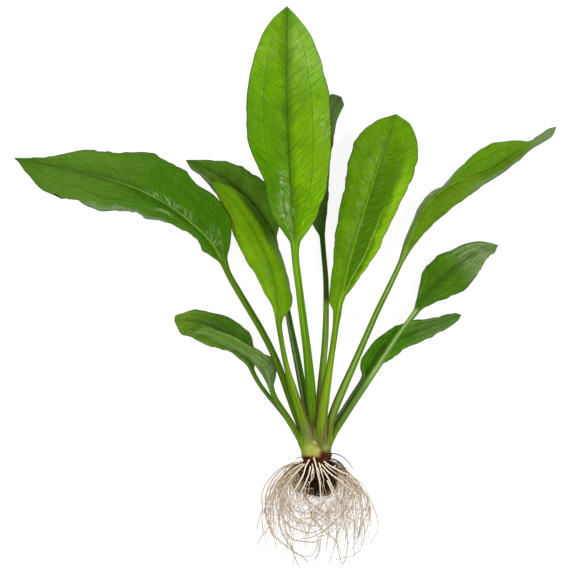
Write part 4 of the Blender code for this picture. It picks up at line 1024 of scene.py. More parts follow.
class LeafFinish(Finish):
    """One face of a leaf: veins, mottle and tints of its blade, and stripes of its stalk.

    signed runs from -1 on the left margin to 1 on the right one, and share is its size. along is the share
    of the blade's length, below 0 on the stalk. across and down are mm from the midrib and from the crown.
    """

    def __init__(self, name, look, settings, under):
        super().__init__(name)
        self.look, self.settings, self.under = look, settings, under
        u, self.along, _ = self.split(self.map("leaf_share"))
        across, down, _ = self.split(self.map("leaf_mm"))
        self.signed = self.maths("MULTIPLY_ADD", u, 2.0, -1.0)
        self.share = self.maths("ABSOLUTE", self.signed)
        self.across = self.times(self.maths("ABSOLUTE", across), MAP_MM)
        self.down = self.times(down, MAP_MM)
        self.spot = self.place()
        self.cloud = self.noise(self.spot, CLOUD_SCALE, 3.0, 0.55)
        self.patchy = self.noise(self.spot, PATCH_SCALE, 2.0, 0.5)
        self.grain = self.noise(self.spot, GRAIN_SCALE, 2.0, 0.7)
        # Adds to the third value of a noise, so that the two halves of a blade differ.
        self.side = self.times(self.maths("GREATER_THAN", self.signed, 0.0), 40.0)
        self.drift = self.swing(self.cloud, 0.25, self.signed)
        # Cross-veins leave the midrib and run outward and forward. Their course bends a little.
        bend = self.swing(self.noise(self.spot, BEND_SCALE, 1.0), 2.4, 0.0)
        self.run = self.plus(self.less(self.down, self.times(self.across, VEIN_SLANT)), bend)
        veins = self.join(self.run, self.times(self.across, 0.12), self.side)
        self.streak = self.noise(veins, 0.9, 1.5, 0.5)
        lengthwise = self.plus(self.times(self.share, 13.0), self.times(bend, 0.12))
        self.length = self.stripes(lengthwise, self.times(self.along, 2.5), self.side)
        self.stripe = self.stripes(self.times(self.signed, 4.0), self.times(self.down, 0.02), self.side)

    def inside(self, start, end, low, high, soft, strength):
        """How far a point lies in a part of the blade, given as LOOKS gives it."""
        beside = self.hill(self.drift, start, end, soft)
        return self.times(beside, self.hill(self.along, low, high, soft), strength)

    def blade_colour(self):
        """Mottle, tints, cross-veins and grain, with painted shade where the blade folds down to its midrib.
        """
        look = self.look
        blade, deep = look["blade"], look["deep"]
        if self.under:
            blade, deep = (
                tuple(UNDER_SHARE * c + g for c, g in zip(colour, grey))
                for colour, grey in ((blade, UNDER_GREY), (deep, UNDER_DEEP_GREY))
            )
        mottle = self.plus(self.times(self.cloud, 0.7), self.times(self.patchy, 0.3))
        colour = self.mix(self.ramp(mottle, 0.36, 0.64), deep, blade)
        # Some patches are the blade's own tone, some are painted shade and some painted sheen.
        for *part, tint, strength in look["patches"]:
            colour = self.mix(self.inside(*part, strength), colour, tint)
        for pattern, title in ((self.streak, "cross"), (self.length, "long"), (self.grain, "speckle")):
            colour = self.dim(colour, self.swing(pattern, look[title]))
        strength, reach = look["shade"]
        # Painted shade that darkens the blade towards its midrib.
        painted_fold_shade = self.times(self.ramp(self.across, reach, 0.0), self.swing(self.patchy, 0.3), strength)
        return self.mix(painted_fold_shade, colour, self.dim(colour, 0.42))

    def veined(self, colour):
        """The colour with the midrib, the rim and a lateral vein each side, from the base to near the tip."""
        look = self.look
        course = self.ramp(self.along, *LATERAL_RISE, LATERAL_BASE, LATERAL_SHARE)
        half_width = self.maths("DIVIDE", self.across, self.maths("MAXIMUM", self.share, 0.02))
        beside = self.times(self.less(self.share, course), half_width)
        on_side = self.ramp(self.signed, -0.01, 0.01, *look["lateral_sides"])
        end = look["lateral_end"]
        fade = self.times(self.ramp(self.along, end, end - 0.23), self.ramp(self.grain, 0.2, 0.5), on_side)
        light_line = self.times(self.hill(beside, 0.35, 1.1, 0.5), fade, 0.28)
        colour = self.mix(light_line, colour, self.dim(colour, 1.6))
        lateral = self.times(self.ramp(self.maths("ABSOLUTE", beside), 0.6, 0.1), fade, 0.6)
        colour = self.mix(lateral, colour, look["lateral"])
        rib = self.ramp(self.across, self.ramp(self.along, 0.0, 1.0, 0.95, 0.5), 0.12)
        rib = self.times(rib, self.ramp(self.along, look["rib_end"], look["rib_end"] - 0.3), look["rib"])
        colour = self.mix(self.times(rib, self.swing(self.patchy, 0.3)), colour, look["midrib"])
        rim = self.ramp(self.times(self.less(1.0, self.share), half_width), 0.62, 0.1)
        return self.mix(self.times(rim, 0.85), colour, look["margin"])

    def stalk_colour(self):
        """Fine stripes, a painted highlight stripe, painted shade on the flanks, a pale foot and papery brown
        margins near the crown.
        """
        look, settings = self.look, self.settings
        stem = self.mix(self.ramp(self.stripe, 0.36, 0.62), look["stalk_dark"], look["stalk"])
        # The gleam: a painted highlight stripe down the stalk.
        start, end, tint, strength = look["gleam"]
        light = self.hill(self.signed, start, end, 0.35)
        light = self.times(light, self.ramp(self.stripe, 0.25, 0.55), strength)
        stem = self.mix(light, stem, tint)
        for start, end, soft, tint, strength in look["bands"]:
            band = self.times(self.hill(self.down, start, end, soft), strength)
            stem = self.mix(band, stem, self.dim(tint, self.swing(self.stripe, 0.8)))
        # Painted shade on the stalk's flanks.
        stem = self.mix(self.times(self.ramp(self.share, 0.5, 1.0), 0.75), stem, look["stalk_dark"])
        olive = self.stripes(self.times(self.signed, 9.0), self.times(self.down, 0.03), self.side, 2.0)
        olive = self.times(self.ramp(olive, 0.5, 0.68), self.ramp(self.down, 75.0, 20.0), 0.45)
        stem = self.mix(olive, stem, OLIVE)
        papery = self.times(self.ramp(self.share, 0.9, 1.0), self.ramp(self.down, 60.0, 15.0), 0.35)
        for hand, start, end in look["sheaths"]:
            here = self.hill(self.down, start, end, 14.0)
            edge = self.plus(self.times(self.signed, hand), self.swing(self.stripe, 0.3, 0.0))
            papery = self.maths("MAXIMUM", papery, self.times(here, self.ramp(edge, 0.1, 0.95), 0.8))
        dry = self.dim(tuple(settings.sheath_colour), self.swing(self.stripe, 0.9))
        stem = self.mix(papery, stem, dry)
        x, y, _ = self.place_mm()
        foot = self.ramp(y, CROWN_TOP_Y + settings.foot_length / MM, CROWN_TOP_Y + 5.0)
        return self.mix(foot, stem, foot_colour(self, x, y, settings))

    def glinting(self, colour):
        """The colour with the look's glints painted in as highlight strokes, and how wet each point is."""
        wet = self.ramp(self.noise(self.spot, WET_SCALE, 3.0, 0.6), 0.5, 0.62)
        strokes = self.stripes(self.times(self.run, 1.5), self.times(self.across, 0.3), self.side, 2.0)
        strokes = self.ramp(strokes, 0.5, 0.66)
        lines = self.stripes(self.times(self.share, 26.0), self.times(self.along, 5.0), self.side, 2.0)
        lines = self.ramp(self.plus(lines, self.swing(self.patchy, 0.12, 0.0)), 0.5, 0.64)
        for *part, lengthwise in self.look["glints"]:
            inside = self.inside(*part)
            wet = self.maths("MAXIMUM", wet, inside)
            # Painted highlight strokes in the colour where the glints are.
            colour = self.mix(self.times(inside, lines if lengthwise else strokes, 0.6), colour, PAINTED_GLINT)
        return colour, self.times(wet, 0.25 if self.under else 1.0)

    def finish(self):
        """The blade's looks over the stalk's, with their relief, glossier where wet and duller below."""
        on_blade = self.ramp(self.along, -0.015, 0.05)
        colour = self.mix(on_blade, self.stalk_colour(), self.veined(self.blade_colour()))
        colour, wet = self.glinting(colour)
        relief = self.plus(self.streak, self.times(self.length, self.look["long"] * 1.6))
        relief = self.times(relief, on_blade)
        relief = self.plus(relief, self.times(self.noise(self.spot, RELIEF_SCALE, 2.0), 0.9))
        relief = self.plus(relief, self.times(self.stripe, self.less(1.0, on_blade)))
        strength = self.settings.relief
        normal = self.bump(relief, self.ramp(wet, 0.0, 1.0, strength, strength * 2), 0.0006)
        dull = self.settings.roughness + (0.15 if self.under else 0.0)
        rough = self.ramp(wet, 0.0, 1.0, dull, dull - 0.2)
        return self.shade(colour, rough, normal, 0.06 if self.under else 0.09, LEAF_SHEEN)


def foot_colour(f, x, y, settings):
    """The colour of the stalks' feet and of the sheaths over them, from a point's x and y in mm."""
    stripe = f.stripes(f.times(x, 1.1), f.times(y, 0.12))
    cloud = f.stripes(f.times(x, 0.35), f.times(y, 0.2), 7.0, 2.0, 0.5)
    colour = f.dim(tuple(settings.foot_colour), f.swing(stripe, 1.0))
    for middle_x, middle_y, wide, tall, lean, tint, strength in CROWN_TINTS:
        rise = f.less(y, middle_y)
        aside = f.maths("MULTIPLY_ADD", rise, -lean, f.less(x, middle_x))
        aside, rise = f.times(aside, 1.0 / wide), f.times(rise, 1.0 / tall)
        away = f.plus(f.times(aside, aside), f.times(rise, rise))
        away = f.plus(away, f.swing(cloud, 0.5, 0.0))
        shown = f.times(f.ramp(away, 1.7, 0.15), f.swing(stripe, 0.5), strength)
        colour = f.mix(f.maths("MINIMUM", shown, 1.0), colour, tint)
    return colour


def root_finish(name, pale, dark, tip, head):
    """Turns from the head's colour to pale and to the tip's, with a tone of its own for each strand."""
    f = Finish(name)
    tone, down, _ = f.split(f.map("strand"))
    colour = f.mix(tone, pale, dark)
    colour = f.mix(f.ramp(down, 0.35, 1.0, 0.0, 0.8), colour, tip)
    colour = f.mix(f.ramp(down, 0.3, 0.05, 0.0, 0.75), colour, head)
    fleck = f.noise(f.place(), ROOT_FLECK_SCALE, 3.0, 0.6)
    colour = f.mix(f.times(f.ramp(fleck, 0.5, 0.78), 0.55), colour, ROOT_FLECK)
    return f.shade(colour, 0.5, f.bump(fleck, 0.3, 0.0003), 0.2)


# Leaves as meshes


def leaf_rows(leaf):
    """A leaf's midrib, its widths and rises, the knots along it in mm and the knot where its blade starts."""
    stalk = np.array([(x, y, z, w, 0.0, w, 0.0) for x, y, z, w in leaf["stalk"]])
    rows = np.vstack([stalk, np.array(leaf["blade"])])
    knots = distances(rows[:, :3])
    return rows[:, :3], rows[:, 3:], knots, knots[len(stalk)]


class LeafGrid:
    """Rings along one leaf and samples across them, from the left margin to the right one.

    at is a ring's distance in mm from the crown, past is that from the blade's base, and t is its share of
    the blade. signed is a sample's share of the half width, below 0 on the left, and share is its size.
    fleshy falls from 1 on the stalk to 0 on the blade, and flat rises. full is 0 at the blade's two ends.
    """

    def __init__(self, name):
        self.look = LOOKS[name]
        route, columns, knots, self.start = leaf_rows(LEAVES[name])
        on_stalk = np.linspace(0.0, self.start, max(3, round(self.start / STALK_STEP)))
        length = knots[-1] - self.start
        on_blade = np.linspace(self.start, knots[-1], round(length / BLADE_STEP))[1:]
        self.at = np.concatenate([on_stalk, on_blade])
        self.centres = hermite(knots, route, secant_slopes(knots, route), self.at)
        self.widths = hermite(knots, columns, level_slopes(knots, columns), self.at)
        heading = np.gradient(self.centres, self.at, axis=0)
        heading[0] = (0.0, 1.0, 0.0)
        self.across = unit(np.cross(unit(heading), np.array([0.0, 0.0, 1.0])))
        self.past = np.maximum(0.0, self.at - self.start)[:, None]
        self.t = self.past / length
        self.fleshy = np.exp(-((self.past / STALK_FADE) ** 2))
        self.flat = 1 - self.fleshy
        self.full = np.sin(math.pi * np.clip(self.t, 0.0, 1.0)) ** 0.6
        half = np.linspace(0.0, 1.0, HALF_SAMPLES) ** SAMPLE_POWER
        self.signed = np.concatenate([-half[:0:-1], half])[None, :]
        self.share = np.abs(self.signed)
        self.right = self.signed > 0
        self.reach = self.sides(self.widths[:, 0:1], self.widths[:, 2:3])
        self.narrow = np.clip(np.abs(self.reach) / NARROW_HALF, 0.0, 1.0)
        self.phase = sum(ord(c) for c in name) % 7
        self.reach = self.reach + self.flat * self.lobes()

    def sides(self, left, right):
        """One value on the left half and another on the right one."""
        return np.where(self.right, right, left)

    def lobes(self):
        """How far the look's lobes push the margins out, in mm."""
        total = np.zeros_like(self.reach * self.share)
        for hand, place, length, size in self.look["lobes"]:
            lobe = size * np.exp(-(((self.t - place) / length) ** 2))
            total = total + np.where(np.sign(self.signed) == hand, lobe, 0.0)
        return total

    def wave(self):
        """The slow waves of the margins, of their own phase on either side."""
        turn = 2 * math.pi * self.look["waves"] * self.t + self.phase
        second = np.sin(1.73 * turn + self.sides(2.6, 0.4))
        return np.sin(turn + self.sides(0.0, 1.9)) + 0.5 * second

    def scallop(self):
        """The short lobes of the margins, uneven in length."""
        lobe = self.past * 2 * math.pi / SCALLOP_LENGTH + self.phase
        lobe = lobe + 1.6 * np.sin(lobe * 0.37 + self.sides(0.0, 2.0))
        return np.sin(lobe + self.sides(0.0, 1.0)) + 0.45 * np.sin(2.3 * lobe)

    def veins(self):
        """Grooves along the midrib and the lateral veins, less the low quilting between the cross-veins."""
        span = np.abs(self.reach) * self.share
        base = LATERAL_BASE + (LATERAL_SHARE - LATERAL_BASE) * smooth(self.t, *LATERAL_RISE)
        lateral = np.exp(-(((self.share - base) * np.abs(self.reach) / 0.7) ** 2))
        groove = 0.45 * np.exp(-((span / 1.0) ** 2)) + 0.5 * np.exp(-((span / 3.0) ** 2)) + 0.16 * lateral
        run = self.past - VEIN_SLANT * span
        quilt = 0.1 * np.sin(run * 1.5 + 2.0 * np.sin(span * 0.35 + self.phase)) * smooth(span, 1.0, 4.0)
        slow = run * 0.7 + 3.0 * np.sin(self.past * 0.11 + self.phase) + self.right * 2.0
        return groove - (quilt + 0.12 * np.sin(slow))

    def sheet(self, settings):
        """The leaf as one sheet halfway between its faces, and how far each sample lies from the midrib."""
        share, scallop = self.share, self.scallop()
        wide = SCALLOP_DEPTH * self.look["scallop"] * self.flat * self.full * scallop * share**5
        out = np.sign(self.signed) * share * (self.reach + wide)
        rise = self.sides(self.widths[:, 1:2], self.widths[:, 3:4])
        up = rise * share**RISE_POWER + self.flat * BLADE_ARCH * np.abs(self.reach) * 4 * share * (1 - share)
        ruffle = settings.ruffle * self.look["ruffle"] * self.flat * self.full * self.narrow
        up = up + ruffle * share**2.2 * self.wave()
        ripple = 0.4 * settings.ruffle * self.look["scallop"] * self.flat * self.full * self.narrow
        up = up + ripple * share**4 * scallop
        up = up - settings.vein_depth * self.flat * self.full * self.narrow * self.veins()
        middle = self.centres[:, None] + self.across[:, None] * out[..., None]
        middle[..., 2] += up
        return middle, out

    def halves(self, settings):
        """Half the leaf's thickness above its sheet and below it, where the midrib stands out."""
        depth = np.clip(STALK_DEPTH_SHARE * self.widths[:, 0:1], *STALK_HALF_DEPTHS)
        ridges = 0.94 + 0.06 * np.cos(3 * math.pi * self.signed)
        stalk = depth * np.sqrt(np.clip(1 - self.share**2, 0.0, 1.0)) * ridges
        blade = settings.sheet / MM / 2 * np.sqrt(np.clip(1 - self.share**8, 0.0, 1.0))
        span = np.abs(self.reach) * self.share
        rib = (RIB_HALF_BASE + (RIB_HALF_TIP - RIB_HALF_BASE) * self.t) * np.exp(-((span / 1.1) ** 2))
        upper = self.fleshy * stalk + self.flat * blade
        lower = self.fleshy * stalk + self.flat * (blade + rib * self.full)
        return upper, lower


def leaf_skin(name, settings):
    """The leaf's upper and lower faces as grids (rings x samples across x 3), with its maps' values."""
    grid = LeafGrid(name)
    middle, out = grid.sheet(settings)
    normal = unit(np.cross(np.gradient(middle, axis=1), np.gradient(middle, axis=0)))
    normal[-1] = normal[-2]
    above, below = grid.halves(settings)
    upper, lower = middle + normal * above[..., None], middle - normal * below[..., None]
    # Eased down under the highest point of the solids, then kept over the floor and inside their box.
    ceiling = HIGHEST_Z - CEILING_EASE
    for face in (upper, lower):
        high = face[..., 2] - ceiling
        face[..., 2] = np.where(high > 0, ceiling + CEILING_EASE * np.tanh(high / CEILING_EASE), face[..., 2])
        face[..., 2] = np.maximum(face[..., 2], LOWEST_Z)
        face[:] = np.clip(face, *SKIN_LIMITS)
    shares = [np.broadcast_to((grid.signed + 1) / 2, out.shape), np.broadcast_to(grid.t, out.shape)]
    shares = np.stack(shares, axis=-1)
    shares[..., 1] += np.minimum(0.0, grid.at - grid.start)[:, None] / MAP_MM
    spans = np.stack([out / MAP_MM, np.broadcast_to(grid.at[:, None] / MAP_MM, out.shape)], axis=-1)
    return upper, lower, shares, spans


def leaf_mesh(name, settings, finishes):
    """The leaf's two faces as one closed skin, with its maps."""
    upper, lower, shares, spans = leaf_skin(name, settings)
    rings, wide = upper.shape[:2]
    # One loop of points a ring: left margin, upper face, right margin, lower face back again.
    order = np.concatenate([np.arange(wide), np.arange(wide - 2, 0, -1)])
    loop = np.concatenate([upper, lower[:, -2:0:-1]], axis=1)[:-1]
    loop[:, 0] = (upper[:-1, 0] + lower[:-1, 0]) / 2
    loop[:, wide - 1] = (upper[:-1, -1] + lower[:-1, -1]) / 2
    tip = upper[-1, wide // 2]
    size = loop.shape[1]
    points = np.concatenate([loop.reshape(-1, 3), tip[None]])
    index = np.arange((rings - 1) * size).reshape(rings - 1, size)
    following = np.roll(index, -1, axis=1)
    quads = np.stack([index[:-1], index[1:], following[1:], following[:-1]], axis=-1)
    faces = quads.reshape(-1, 4).tolist()
    last = len(points) - 1
    faces += [(int(a), last, int(b)) for a, b in zip(index[-1], following[-1])]
    faces.append(index[0].tolist())
    side_slots = np.where(np.arange(size) < wide - 1, 0, 1)
    slots = np.concatenate([np.tile(side_slots, rings - 2), side_slots, [1]])
    bake = leaf_corners(np.stack([shares[..., 0], spans[..., 1] / spans[-1, 0, 1]], axis=-1), order)
    per_face = np.concatenate([np.full((rings - 2) * size, 4), np.full(size, 3), [size]])
    # The upper face fills the left half of the bake map and the lower face the right one.
    bake[:, 0] = bake[:, 0] * 0.47 + 0.01 + np.repeat(slots, per_face) * 0.5
    bake[:, 1] = bake[:, 1] * 0.98 + 0.01
    maps = {
        "leaf_share": leaf_corners(shares, order),
        "leaf_mm": leaf_corners(spans, order),
        "OFBake": bake,
    }
    return mesh_of(f"{name}_skin", points, faces, maps, finishes, slots)


def leaf_corners(values, order):
    """The value pairs at each face's corners, for the quads, the tip's triangles and the foot."""
    ahead = np.roll(order, -1)
    near, far = values[:-2][:, order], values[1:-1][:, order]
    near_next, far_next = values[:-2][:, ahead], values[1:-1][:, ahead]
    quad = np.stack([near, far, far_next, near_next], axis=2).reshape(-1, 2)
    end, end_next = values[-2][order], values[-2][ahead]
    top = np.broadcast_to(values[-1, values.shape[1] // 2], end.shape)
    fan = np.stack([end, top, end_next], axis=1).reshape(-1, 2)
    return np.concatenate([quad, fan, values[0][order]])


# The stalks' feet and their sheaths


def crown_radius(drop):
    """The crown's half width this far in mm below its top."""
    return np.interp(drop, *zip(*CROWN_PROFILE))


def stalk_feet(places):
    """Centre x and z, half width and half depth of each stalk at each place along Y (stalks x places x 4)."""
    feet = []
    for leaf in LEAVES.values():
        route, columns, knots, start = leaf_rows(leaf)
        at = np.linspace(0.0, min(start, 40.0), 160)
        line = hermite(knots, route, secant_slopes(knots, route), at)
        half = np.interp(at, knots, columns[:, 0])
        depth = np.clip(STALK_DEPTH_SHARE * half, *STALK_HALF_DEPTHS)
        lean = np.gradient(line[:, 0], at) / np.maximum(np.gradient(line[:, 1], at), 0.2)
        half = half * np.sqrt(1 + lean**2)
        values = (line[:, 0], line[:, 2], half, depth)
        feet.append([np.interp(places, line[:, 1], value) for value in values])
    return np.array(feet).transpose(0, 2, 1)


def feet_outline(places, turn):
    """How far the stalks' feet, and their hull, reach from the crown's axis along each direction."""
    cos, sin = np.cos(turn), np.sin(turn)
    feet = stalk_feet(np.maximum(places, CROWN_TOP_Y + 0.4))
    x, z = feet[..., 0:1] - CROWN_X, feet[..., 1:2] - CROWN_Z
    half, depth = feet[..., 2:3], feet[..., 3:4]
    support = (x * cos + z * sin + np.hypot(half * cos, depth * sin)).max(axis=0)
    away = turn[:, None] - turn[None, :]
    facing = np.where(np.cos(away) > 0.2, np.cos(away), np.nan)
    hull = np.nanmin(support[:, None, :] / facing[None], axis=2)
    a = (cos / half) ** 2 + (sin / depth) ** 2
    b = x * cos / half**2 + z * sin / depth**2
    c = (x / half) ** 2 + (z / depth) ** 2 - 1
    root = b**2 - a * c
    feet_reach = np.where(root > 0, (b + np.sqrt(np.maximum(root, 0.0))) / a, 0.0).max(axis=0)
    return feet_reach, hull


def sheath_rings():
    """Rings round the crown that fill the gaps between the stalks' feet, then close over them."""
    places = np.linspace(SHEATH_START_Y, SHEATH_END_Y, SHEATH_RINGS)
    turn = np.linspace(0.0, 2 * math.pi, SHEATH_SIDES, endpoint=False)
    cos, sin = np.cos(turn), np.sin(turn)
    feet_reach, hull = feet_outline(places, turn)
    drop = np.maximum(CROWN_TOP_Y - places, 0.0)[:, None]
    barrel = crown_radius(drop) / np.sqrt(cos**2 + (sin / CROWN_DEPTH_SHARE) ** 2)
    grown = smooth(SHEATH_START_Y - places, 0.0, SHEATH_START_Y - SHEATH_CLOSED_Y)[:, None]
    soft = np.maximum(feet_reach, hull - 1.5 + 1.2 * grown)
    radius = (1 - grown) * 0.62 * np.minimum(hull, 7.0) + grown * (soft + 0.12)
    low = smooth(CROWN_TOP_Y - places, -1.0, 3.0)[:, None]
    radius = (1 - low) * radius + low * (barrel + 0.15)
    # The front stalk's swollen foot stands out over the sheaths to its right.
    over = smooth(bulb_edge(places)[:, None] - (CROWN_X + radius * cos), -0.25, 0.35) * smooth(sin, 0.1, 0.5)
    over = over * smooth(-places, 79.0, 83.0)[:, None] * smooth(places, -93.0, -91.0)[:, None]
    radius = radius + BULB_HEIGHT * over
    tuck = smooth(-places, -SHEATH_END_Y - 2.2, -SHEATH_END_Y)[:, None]
    radius = radius * (1 - 0.25 * tuck)
    y = places[:, None] + 0.0 * radius
    return np.stack([CROWN_X + radius * cos, y, CROWN_Z + radius * sin], axis=-1)


def bulb_edge(places):
    """Where along X the right margin of the front stalk's swollen foot lies, at each place along Y."""
    return np.interp(-places, [69.0, 80.5, 86.0, 90.5, 94.6], [9.5, 14.7, 17.4, 18.8, 18.9])


# Roots as strands


def skirt_at(place):
    """The skirt's row at each share of the way from its head to its tip."""
    skirt = np.array(ROOT_SKIRT)
    knots = np.linspace(0.0, 1.0, len(skirt))
    return hermite(knots, skirt, secant_slopes(knots, skirt), np.clip(place, 0.0, 1.0))


def skirt_across(y):
    """The skirt's half width, half height and the height of its middle at each place along Y."""
    skirt = np.array(ROOT_SKIRT)[::-1]
    return [np.interp(y, skirt[:, 0], column) for column in skirt.T[1:]]


def skirt_depth(x, y, share, inset=0.0):
    """Z of points inset from the skirt: share runs from -1 at its back to 1 at its front."""
    across, height, middle = skirt_across(y)
    off_axis = np.clip((x - ROOT_AXIS_X) / across, -1.0, 1.0)
    return middle + share * (height - inset) * np.sqrt(1 - off_axis**2)


def front_route(layer, flat, length):
    """Points down one front root: its height is that of the skirt's upper side, less its layer's inset."""
    course = course_of(flat, length)
    return np.column_stack([course, skirt_depth(*course.T, 1.0, layer * LAYER_STEP)])


def flank_route(angle, spread, reach, length):
    """Points down one flank root: over the core's shoulder, along the skirt, then down to its own tip."""
    place = np.linspace(FLANK_ROOT_START, reach, length)
    rows = skirt_at(place)
    free = np.maximum(0.0, (place - ROOT_FREE_FROM) / (1 - ROOT_FREE_FROM))
    draw = 1 - (1 - spread) * free
    sway = ROOT_SWAY * place * np.sin(ROOT_SWAY_TURN * place + angle / ROOT_SWAY_STAGGER)
    turn = np.radians(angle + sway)
    x = ROOT_AXIS_X + rows[:, 1] * draw * np.cos(turn)
    z = rows[:, 3] + rows[:, 2] * np.minimum(draw, 1.0) * np.sin(turn)
    return np.column_stack([x, rows[:, 0], z])


def main_routes():
    """The main roots' courses: roots x points x 3."""
    routes = [front_route(layer, flat, MAIN_POINTS) for layer, flat in FRONT_ROOTS]
    routes += [flank_route(*flank, MAIN_POINTS) for flank in FLANK_ROOTS]
    return np.array(routes)


def before_bare_patch(points):
    """Whether each point lies before the part of the medium that shows bare."""
    left, right, bottom, back = BARE_PATCH
    x, y, z = points[..., 0], points[..., 1], points[..., 2]
    return (x > left) & (x < right) & (y > bottom) & (z > back)


def arcs(parents, chance, count, length, starts, ends, reach, cross, sizes):
    """Smooth strands from the parents to ends that are spread evenly over the ball of roots.

    Parents are routes, as strands x points x 3. Starts and ends bound the strands' two ends along Y. Reach
    is how far out the ends lie, as a share of the skirt's half width; cross bounds how far a strand's start
    lies to the side of its end; sizes are those of its waves.
    """
    heading = unit(np.gradient(parents, axis=1)).reshape(-1, 3)
    spots = parents.reshape(-1, 3)
    fit = (spots[:, 1] > starts[0]) & (spots[:, 1] < starts[1]) & ~before_bare_patch(spots)
    spots, heading = spots[fit], heading[fit]
    places = (np.arange(count) + chance.uniform(0.0, 1.0, count)) / count
    end_y = chance.permutation(np.linspace(ends[0], ends[1], count))
    end_x = ROOT_AXIS_X + (2 * places - 1) * reach * skirt_across(end_y)[0]
    depth = chance.uniform(-0.9, 1.0, count)
    end = np.stack([end_x, end_y, skirt_depth(end_x, end_y, depth)], axis=-1)
    shift = chance.uniform(*cross, count) * chance.choice([-1.0, 1.0], count)
    aim_x = ROOT_AXIS_X + (end_x - ROOT_AXIS_X) * chance.uniform(0.45, 0.95, count) + shift
    aim_z = end[:, 2] + 3.0
    gap = np.abs(spots[None, :, 0] - aim_x[:, None]) + 0.5 * np.abs(spots[None, :, 2] - aim_z[:, None])
    near = np.argsort(gap, axis=1)[np.arange(count), chance.integers(0, NEAR_STARTS, count)]
    start, way = spots[near], heading[near]
    span = np.linalg.norm(end - start, axis=1)[:, None]
    fall = np.stack([-0.25 * (end_x - start[:, 0]) / span[:, 0], -np.ones(count), np.zeros(count)], axis=-1)
    fall[:, 0] += chance.uniform(-0.5, 0.5, count)
    first = start + way * span * chance.uniform(0.3, 0.5, (count, 1))
    second = end - unit(fall) * span * chance.uniform(0.25, 0.45, (count, 1))
    run = np.linspace(0.0, 1.0, length)[None, :, None]
    courses = (
        start[:, None] * (1 - run) ** 3 + 3 * first[:, None] * run * (1 - run) ** 2
        + 3 * second[:, None] * run**2 * (1 - run) + end[:, None] * run**3
    )
    courses += wander(chance, count, length, sizes)
    return courses[before_bare_patch(courses).sum(axis=1) < BARE_POINTS]


def wander(chance, count, length, sizes):
    """Smooth offsets for strands, zero at the head: each size is (mm, slowest waves, fastest waves)."""
    run = np.linspace(0.0, 1.0, length)[None, :, None]
    total = np.zeros((count, length, 3))
    for size, slow, fast in sizes:
        waves = chance.uniform(slow, fast, (count, 1, 3))
        phase = chance.uniform(0.0, 2 * math.pi, (count, 1, 3))
        total += size * (np.sin(2 * math.pi * waves * run + phase) - np.sin(phase))
    return total * smooth(run, 0.0, STRAND_GRIP)


def kept_low(routes, radii):
    """Strands that stay over the table and short of the lowest root's tip."""
    routes[..., 2] = np.maximum(routes[..., 2], LOWEST_Z + radii)
    routes[..., 1] = np.maximum(routes[..., 1], LOWEST_Y + radii)
    return routes


def hand_routes(table, parents):
    """Long roots: x and y as tabled, height by share of the skirt's depth, head on the nearest parent."""
    spots = parents.reshape(-1, 3)
    run = np.linspace(0.0, 1.0, LONG_POINTS)[:, None]
    routes = []
    for share, flat in table:
        course = course_of(flat, LONG_POINTS)
        route = np.column_stack([course, skirt_depth(*course.T, share)])
        near = spots[np.argmin(np.linalg.norm((spots - route[0]) * (1.0, 1.0, 0.3), axis=1))]
        routes.append(route + (near - route[0]) * (1 - smooth(run, 0.0, STRAND_GRIP)))
    return np.array(routes)


# Settings


class LeafSettings(bpy.types.PropertyGroup):
    """Sizes and finish that all the leaves share."""

    ruffle: FloatProperty(
        name="Ruffle", description="How strongly the blades' margins wave", default=1.0, min=0.0, max=3.0
    )
    vein_depth: FloatProperty(
        name="Vein depth", description="How deep the veins are grooved", default=1.0, min=0.0, max=3.0
    )
    sheet: FloatProperty(
        name="Blade thickness", description="Thickness of the blade", default=0.00045, unit="LENGTH"
    )
    roughness: FloatProperty(
        name="Roughness", description="Roughness of the upper face", default=0.4, subtype="FACTOR"
    )
    relief: FloatProperty(
        name="Relief", description="Strength of the fine relief", default=0.3, subtype="FACTOR"
    )
    foot_length: FloatProperty(
        name="Foot length", description="Length of the pale foot of a stalk", default=0.02, unit="LENGTH"
    )
    foot_colour: FloatVectorProperty(
        name="Foot colour", description="Colour of a stalk's foot",
        default=(0.1, 0.17, 0.008), subtype="COLOR",
    )
    sheath_colour: FloatVectorProperty(
        name="Sheath margin colour",
        description="Colour of the papery margins at the stalks' feet",
        default=(0.075, 0.058, 0.014),
        subtype="COLOR",
    )


class CrownSettings(bpy.types.PropertyGroup):
    """Colours of the crown and its rhizome."""

    rhizome: FloatVectorProperty(
        name="Rhizome colour", description="Colour of the rhizome",
        default=(0.045, 0.01, 0.003), subtype="COLOR",
    )


class MediumSettings(bpy.types.PropertyGroup):
    """The planting medium held under the crown."""

    crumbs: IntProperty(name="Crumbs", description="How many loose crumbs cling to it", default=190, min=0)
    colour: FloatVectorProperty(
        name="Medium colour", description="Colour of the medium",
        default=(0.008, 0.004, 0.0015), subtype="COLOR",
    )


class RootSettings(bpy.types.PropertyGroup):
    """The main roots and the fine ones between them."""

    fine_count: IntProperty(name="Fine roots", description="How many fine roots hang down", default=86, min=0)
    arc_count: IntProperty(
        name="Looping roots", description="How many roots loop sideways", default=50, min=0
    )
    hair_count: IntProperty(
        name="Rootlets", description="How many short rootlets branch off", default=105, min=0
    )
    mat_count: IntProperty(
        name="Soil rootlets", description="How many rootlets cling to the medium", default=150, min=0
    )
    fine_radius: FloatProperty(
        name="Fine radius", description="Radius of a fine root", default=0.00018, unit="LENGTH", precision=5
    )
    young: FloatVectorProperty(
        name="Young root colour", description="Colour of fresh roots",
        default=(0.76, 0.66, 0.51), subtype="COLOR",
    )
    old: FloatVectorProperty(
        name="Old root colour", description="Colour of older roots",
        default=(0.52, 0.42, 0.315), subtype="COLOR",
    )
    seed: IntProperty(name="Seed", description="Seed of the roots' courses", default=11)


